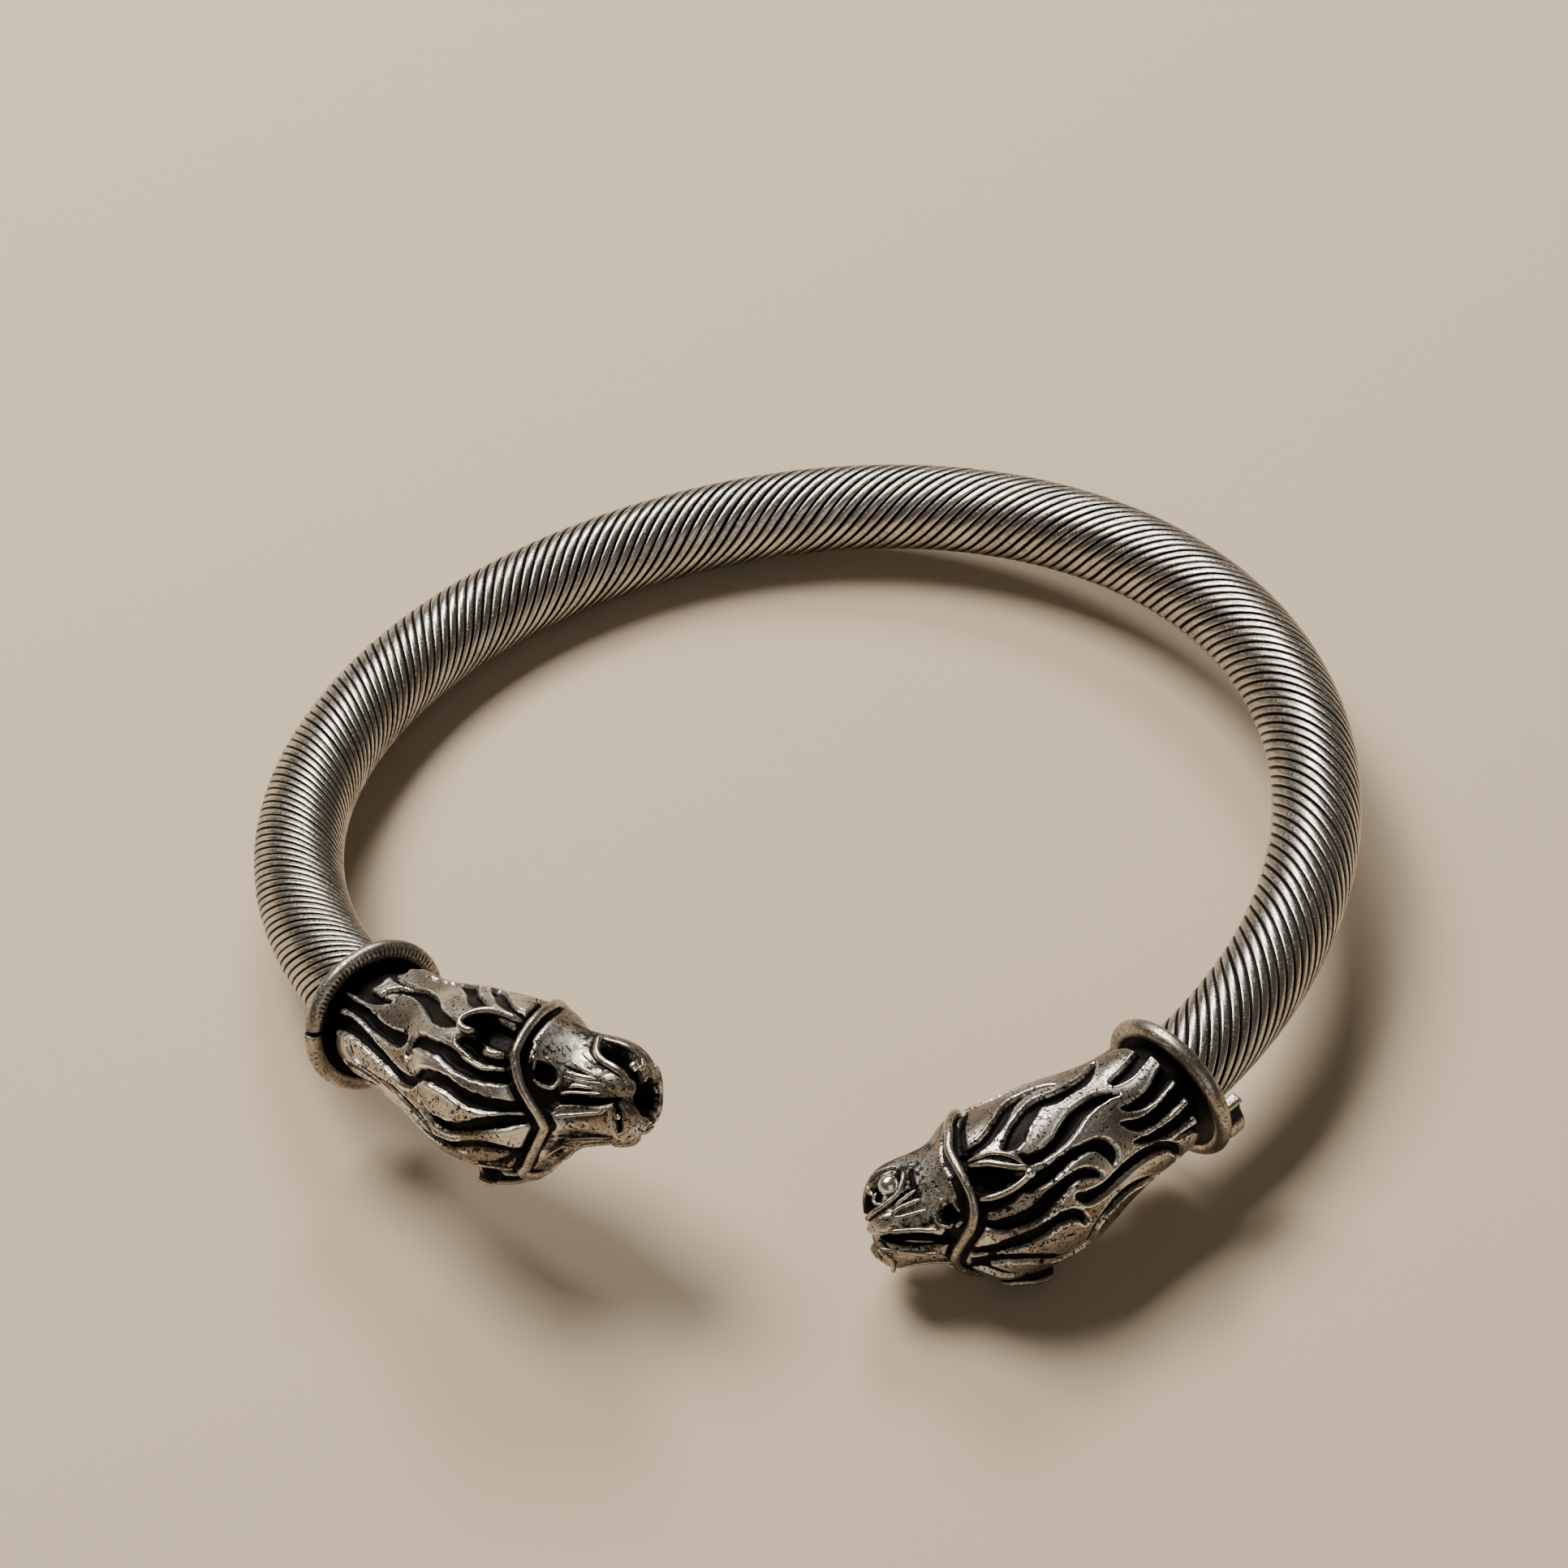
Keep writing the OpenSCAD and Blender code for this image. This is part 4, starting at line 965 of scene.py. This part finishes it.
class Head:
    """One beast head: its base skin, its relief and the wires on it. Its tables' angles count
    toward the side of the animal that shows best, which is the ring's inside and top."""

    def __init__(self, kada, side):
        self.ring = Ring(kada.ring)
        self.sizes = kada.head
        self.side = side
        self.turn = kada.head.left_turn if side > 0 else kada.head.right_turn
        self.muzzle = 1.0 if side > 0 else kada.head.right_muzzle
        self.start = np.array(side * kada.ring.collar_angle, float)
        self.degree_mm = float(self.ring.degree_length(self.start)) / MM
        self.neck_start = self.ring.collar_place(kada, side)[1] / MM
        self.neck, self.locks, self.band, self.ears, self.rims, self.swells, self.hollows, \
            self.beads = HEAD_TABLES[side]
        self.chart = self.carved_chart()

    def base(self, s, q):
        """Place along the axis and radius of the smooth skin, in mm: the crown's and the
        jaw's radii blended by the angle from the crown."""
        along, crown, jaw = np.moveaxis(
            smooth_lookup(np.ravel(s), HEAD_SECTIONS).reshape(*np.shape(s), 3), -1, 0)
        along = along - (1 - self.muzzle) * np.maximum(along - MUZZLE_START, 0)
        jaw_share = smooth_step(np.abs(q), CROWN_SIDE, JAW_SIDE)
        return along, crown + (jaw - crown) * jaw_share

    def skin(self, s, q, lift):
        """Points in place for chart lengths, chart angles and heights above the smooth skin,
        in mm. The height goes along the profile's normal, so it turns over the muzzle."""
        step = 0.05
        along, radius = self.base(s, q)
        along_b, radius_b = self.base(np.minimum(s + step, CHART_END), q)
        along_a, radius_a = self.base(np.maximum(s - step, 0), q)
        ds, dr = along_b - along_a, radius_b - radius_a
        size = np.hypot(ds, dr) + 1e-9
        along = along - lift * dr / size
        radius = np.maximum(radius + lift * ds / size, LEAST_RADIUS)
        t = self.start + self.side * along / self.degree_mm
        return self.ring.place(t, radius * MM, self.turn + self.side * q)

    def on_side(self, line, shown):
        """A table's line with its angles as chart angles, on the side that shows best or
        mirrored to the other side."""
        toward = -self.side if shown else self.side
        return [(p[0], toward * p[1], *p[2:]) for p in line]

    def both_sides(self, table):
        """Each row of a table with its line on the side that shows best, and once more on the
        other side where the line keeps clear of the crown."""
        for *values, line in table:
            yield (*values, self.on_side(line, True))
            if min(p[1] for p in line) > self.sizes.mirror_from:
                yield (*values, self.on_side(line, False))

    def mane_lines(self):
        """The head's own grooves, and on its far side those of the other head."""
        lines = [self.on_side(line, True) for line in self.locks]
        for line in HEAD_TABLES[-self.side][1]:
            if min(p[1] for p in line) > self.sizes.far_from:
                lines.append(self.on_side(line, False))
        return lines

    def uneven(self, s, q, kind, side=0):
        """Unevenness over the chart, of one of the kinds named at the top."""
        along, across, waves, seed = kind
        return wander(s * along, q * across, waves, seed + side)

    def carved_chart(self):
        """Height and darkness over the chart: grooves with steep walls and raised edges between
        the mane's locks, the hollow at the neck, and then the face."""
        h = self.sizes
        rows = np.linspace(self.neck_start, CHART_END, h.rows + 2)[1:-1]
        chart = HeadChart(rows, np.linspace(-180, 180, h.columns, endpoint=False), h.degree / MM)
        s, q = rows[:, None], chart.q[None, :]
        inside = np.full(chart.height.shape, FAR_OUTSIDE)
        for line in self.mane_lines():
            part, depth = chart.inside(line, CARVE_REACH)
            inside[part] = np.maximum(inside[part], depth)
        ragged = self.uneven(s, q, RAGGED, self.side)
        rough = self.uneven(s, q, ROUGH, self.side)
        neck = np.interp(-self.side * chart.q, *np.array(self.neck).T)[None, :]
        neck_edge = neck + NECK_TORN * ragged - s
        inside = np.maximum(inside, neck_edge)
        mane = 1 - smooth_step(s, *MANE_END)
        torn = inside + LOCK_TORN[0] * ragged + LOCK_TORN[1] * rough
        wall = smooth_step(torn, *LOCK_WALL)
        edge = np.exp(-((inside + EDGE_PLACE) / EDGE_SPREAD) ** 2)
        belly = 1 - np.exp(-np.clip(-inside, 0, BELLY_REACH) / BELLY_SPREAD)
        floor = h.lock_depth / MM * (1 + FLOOR_UNEVEN * ragged)
        chart.height += mane * (h.lip / MM * edge + BELLY * belly - floor * wall)
        # Recess drops below 0 along a groove's edge: brighter metal, partly wear, partly a painted
        # highlight.
        chart.dark = mane * (smooth_step(torn, *LOCK_DARK) - EDGE_WEAR_AND_HIGHLIGHT * edge * (1 - wall))
        chart.height -= smooth_step(neck_edge, *NECK_WALL) * NECK_DROP
        chart.dark += (1 - mane) * (h.face_dark + FACE_TORN[0] * ragged + FACE_TORN[1] * rough)
        self.shape_face(chart)
        return chart

    def ear_lift(self, s):
        """Height of an ear's rim above the skin: it grows from the band back to the tip."""
        h = self.sizes
        share = smooth_step(EAR_BAND - s, 0, EAR_LENGTH)
        return (h.ear_root + (h.ear_tip - h.ear_root) * share) / MM

    def shape_face(self, chart):
        """Adds the face to the chart: the raised places, the dark gap along the brow band, the
        sunk dark places, and the walls under the ears' rims."""
        for height, line in self.both_sides(self.swells):
            part, depth = chart.inside(line, SWELL_REACH)
            half = np.array(line)[:, 2].mean() / 2
            swell = height * np.exp(-(np.maximum(half - depth, 0) / half) ** SWELL_POWER)
            chart.height[part] += swell
            chart.dark[part] -= SWELL_SHINE * swell / height
        band = self.on_side([(s, c, MOAT_WIDTH) for s, c in self.band], True)
        part, depth = chart.inside(band, MOAT_REACH)
        moat = smooth_step(depth, *HOLLOW_WALL)
        chart.height[part] -= MOAT_DEPTH * moat
        chart.dark[part] = np.maximum(chart.dark[part], moat)
        for deep, line in self.both_sides(self.hollows):
            part, depth = chart.inside(line, CARVE_REACH)
            wall = smooth_step(depth, *HOLLOW_WALL)
            level = chart.height[part] * (1 - wall) - deep * wall
            chart.height[part] = np.minimum(chart.height[part], level)
            chart.dark[part] = np.maximum(chart.dark[part], smooth_step(depth, *HOLLOW_DARK))
        for thick, line in self.both_sides(self.ears):
            part, depth = chart.inside([(s, c, thick * EAR_WIDTH) for s, c in line], EAR_REACH)
            wall = smooth_step(depth, *EAR_WALL)
            lift = self.ear_lift(chart.s)[part[0]] - EAR_DROP
            level = chart.height[part] * (1 - wall) + lift * wall
            chart.height[part] = np.maximum(chart.height[part], level)
            chart.dark[part] = np.maximum(chart.dark[part], EAR_DARK * wall)

    def casting(self):
        """The carved skin as a closed part, whose front pole lies level with its last row."""
        s, q = np.meshgrid(self.chart.s, self.chart.q, indexing="ij")
        grid = self.skin(s, q, self.chart.height)
        neck = self.ring.set_down(self.ring.line(
            self.start + self.side * self.neck_start / self.degree_mm))
        points, quads, triangles = capped_grid(grid, neck, grid[-1].mean(0))
        # Painted shade: the shown side of the jaw faces up to the dim room, so more tarnish darkens
        # it.
        jaw = smooth_step(-self.side * q, *JAW_SHADE_REACH)
        dull_and_shade = CAST_TARNISH + CAST_VARY * self.uneven(s, q, CLOUDED) + JAW_PAINTED_SHADE * jaw
        return points, quads, triangles, np.append(self.chart.dark.ravel(), [1, 1]), \
            np.append(dull_and_shade.ravel(), [0, 0])

    def wire(self, line, thickness, lift, ends=WIRE_ENDS):
        """A round wire on the skin along a line of chart points: its radius shrinks toward
        both ends and wavers a little, and its middle stands lift above the smooth skin."""
        path = through_points(line, WIRE_STEPS)
        lift = np.broadcast_to(lift(path[:, 0]) if callable(lift) else lift, len(path))
        centre = self.skin(path[:, 0], path[:, 1], lift)
        over = self.skin(path[:, 0], path[:, 1], lift + WIRE_ABOVE)
        way = np.gradient(centre, axis=0)
        way /= np.linalg.norm(way, axis=1, keepdims=True)
        rise = over - centre
        rise -= (rise * way).sum(1, keepdims=True) * way
        rise /= np.linalg.norm(rise, axis=1, keepdims=True)
        share = np.linspace(0, 1, len(path))
        end = smooth_step(np.minimum(share, 1 - share) * len(line), 0, WIRE_TAPER)
        waver = wander(np.arange(len(path)) / WIRE_PACE, 0 * share, WIRE_WAVES, len(line))
        radius = thickness / 2 * (ends + (1 - ends) * end) * (1 + WIRE_WAVER * waver)
        tube = closed_tube(centre, np.cross(way, rise), rise, radius * MM, WIRE_SIDES)
        return (*tube, WIRE_RECESS, WIRE_TARNISH)

    def wires(self):
        """The brow band, the rims of ears, eyes and lips, and the beads."""
        h = self.sizes
        band = self.on_side(self.band, True)
        made = [self.wire(band, h.band / MM, BAND_LIFT, ends=1.0)]
        made += [self.wire(line, thick, self.ear_lift)
                 for thick, line in self.both_sides(self.ears)]
        made += [self.wire(line, thick, lift)
                 for thick, lift, line in self.both_sides(self.rims)]
        return made + [self.bead(*b) for b in self.beads]

    def bead(self, s, c, lift, radius):
        """A small bright bead on the skin: a grid of a sphere's angles."""
        centre = self.skin(np.array([s]), np.array([-self.side * c]), np.array([lift]))[0]
        u = np.linspace(0, np.pi, BEAD_ROWS)[1:-1, None]
        v = np.linspace(0, 2 * np.pi, BEAD_SIDES, endpoint=False)[None, :]
        ball = np.stack([np.sin(u) * np.cos(v), np.sin(u) * np.sin(v), np.cos(u) + 0 * v], -1)
        up = np.array([0, 0, radius * MM])
        skin = capped_grid(centre + radius * MM * ball, centre + up, centre - up)
        return (*skin, BEAD_RECESS, BEAD_TARNISH)


class KADA_OT_rod(bpy.types.Operator):
    """Make the spirally fluted rod"""
    bl_idname = "kada.rod"
    bl_label = "Fluted Rod"

    def execute(self, context):
        kada = context.scene.kada
        finish = antiqued("antiqued_flutes", kada.look, pit_share=0.3, tone=0.8, rough=0.27)
        make_piece("fluted_rod_spiral", [fluted_rod(kada)], finish, ["fluted_rod"])
        return {"FINISHED"}


class KADA_OT_collars(bpy.types.Operator):
    """Make the collars where the rod enters the heads"""
    bl_idname = "kada.collars"
    bl_label = "Collars"

    def execute(self, context):
        kada = context.scene.kada
        finish = antiqued("antiqued_rim", kada.look, pit_share=0.6, tone=0.9, rough=0.31)
        make_piece("collar_left_notched", [collar(kada, 1)], finish,
                   ["collar_left"])
        make_piece("collar_right_soldered", [collar(kada, -1), solder_tab(kada)], finish,
                   ["collar_right"])
        return {"FINISHED"}


class KADA_OT_heads(bpy.types.Operator):
    """Make the two cast heads with their manes and faces"""
    bl_idname = "kada.heads"
    bl_label = "Cast Heads"

    def execute(self, context):
        kada = context.scene.kada
        skin = antiqued("antiqued_casting", kada.look, pit_share=1.0, tone=0.97, rough=0.34)
        smooth = antiqued("antiqued_wire", kada.look, pit_share=0.5, tone=0.95, rough=0.27)
        for side, name in ((1, "left"), (-1, "right")):
            head = Head(kada, side)
            make_piece(f"head_{name}_casting", [head.casting()], skin,
                       [f"head_{name}"])
            make_piece(f"head_{name}_wires", head.wires(), smooth)
        return {"FINISHED"}


class KADA_OT_stage(bpy.types.Operator):
    """Make the floor, the soft lights and the camera"""
    bl_idname = "kada.stage"
    bl_label = "Stage"

    def execute(self, context):
        scene, s = context.scene, context.scene.kada.stage
        self.add_floor(scene, s)
        for name, place, size, tint in LIGHTS:
            self.add_light(scene, name, place, size, getattr(s, f"{name}_power"), tint)
        world = bpy.data.worlds.new("dim_room")
        world.use_nodes = True
        room = world.node_tree.nodes["Background"]
        room.inputs["Color"].default_value = ROOM_COLOUR
        room.inputs["Strength"].default_value = s.world
        scene.world = world
        self.add_camera(scene, s)
        return {"FINISHED"}

    def add_floor(self, scene, s):
        """A plain pale square under the object."""
        half = s.floor_size / 2
        mesh = bpy.data.meshes.new("floor")
        mesh.from_pydata([(-half, -half, 0), (half, -half, 0), (half, half, 0),
                          (-half, half, 0)], [], [(0, 1, 2, 3)])
        f = Finish("pale_floor")
        f.into("Base Color", rgba(s.floor))
        f.into("Roughness", FLOOR_ROUGHNESS)
        f.into("Specular IOR Level", FLOOR_SHINE)
        mesh.materials.append(f.material)
        floor = bpy.data.objects.new("floor", mesh)
        scene.collection.objects.link(floor)

    def add_light(self, scene, name, place, size, power, tint):
        """A square area light that looks at the object."""
        data = bpy.data.lights.new(f"{name}_light", "AREA")
        data.size = size
        data.energy = power
        data.color = tint
        light = bpy.data.objects.new(f"{name}_light", data)
        back = np.array(place) / np.linalg.norm(place)
        side = np.cross([0, 0, 1], back)
        side /= np.linalg.norm(side)
        light.matrix_world = as_matrix(side, np.cross(back, side), back, place)
        scene.collection.objects.link(light)

    def add_camera(self, scene, s):
        """The camera at its distance from the aim, turned by elevation, azimuth and roll."""
        e, a, r = s.elevation, s.azimuth, s.roll
        back = np.array([math.sin(a) * math.cos(e), -math.cos(a) * math.cos(e), math.sin(e)])
        level = np.array([math.cos(a), math.sin(a), 0])
        tall = np.cross(back, level)
        right = math.cos(r) * level + math.sin(r) * tall
        data = bpy.data.cameras.new("camera")
        data.sensor_width = SENSOR
        data.lens = s.focal
        data.clip_start = CLIP_START
        camera = bpy.data.objects.new("camera", data)
        camera.matrix_world = as_matrix(right, np.cross(back, right), back,
                                        np.array(s.aim) + s.distance * back)
        scene.collection.objects.link(camera)
        scene.camera = camera


def as_matrix(x, y, z, place):
    """A 4 by 4 matrix with these columns."""
    return Matrix([(x[i], y[i], z[i], place[i]) for i in range(3)] + [(0, 0, 0, 1)])


class KADA_PT_panel(bpy.types.Panel):
    """Lists the pieces and their settings"""
    bl_label = "Kada Bangle"
    bl_idname = "KADA_PT_panel"
    bl_space_type = "VIEW_3D"
    bl_region_type = "UI"
    bl_category = "Kada"

    def draw(self, context):
        kada = context.scene.kada
        for piece in PIECES:
            self.layout.operator(piece.bl_idname)
        for group in ("ring", "rod", "collar", "head", "look", "stage"):
            box = self.layout.box()
            box.label(text=group.title())
            settings = getattr(kada, group)
            for key in settings.__annotations__:
                box.prop(settings, key)


PIECES = (KADA_OT_rod, KADA_OT_collars, KADA_OT_heads, KADA_OT_stage)
CLASSES = (RingSettings, RodSettings, CollarSettings, HeadSettings, LookSettings, StageSettings,
           KadaSettings, *PIECES, KADA_PT_panel)


def register():
    for each in CLASSES:
        bpy.utils.register_class(each)
    bpy.types.Scene.kada = PointerProperty(type=KadaSettings)


def unregister():
    del bpy.types.Scene.kada
    for each in reversed(CLASSES):
        bpy.utils.unregister_class(each)


def main():
    register()
    bpy.ops.kada.rod()
    bpy.ops.kada.collars()
    bpy.ops.kada.heads()
    bpy.ops.kada.stage()


if __name__ == "__main__":
    main()
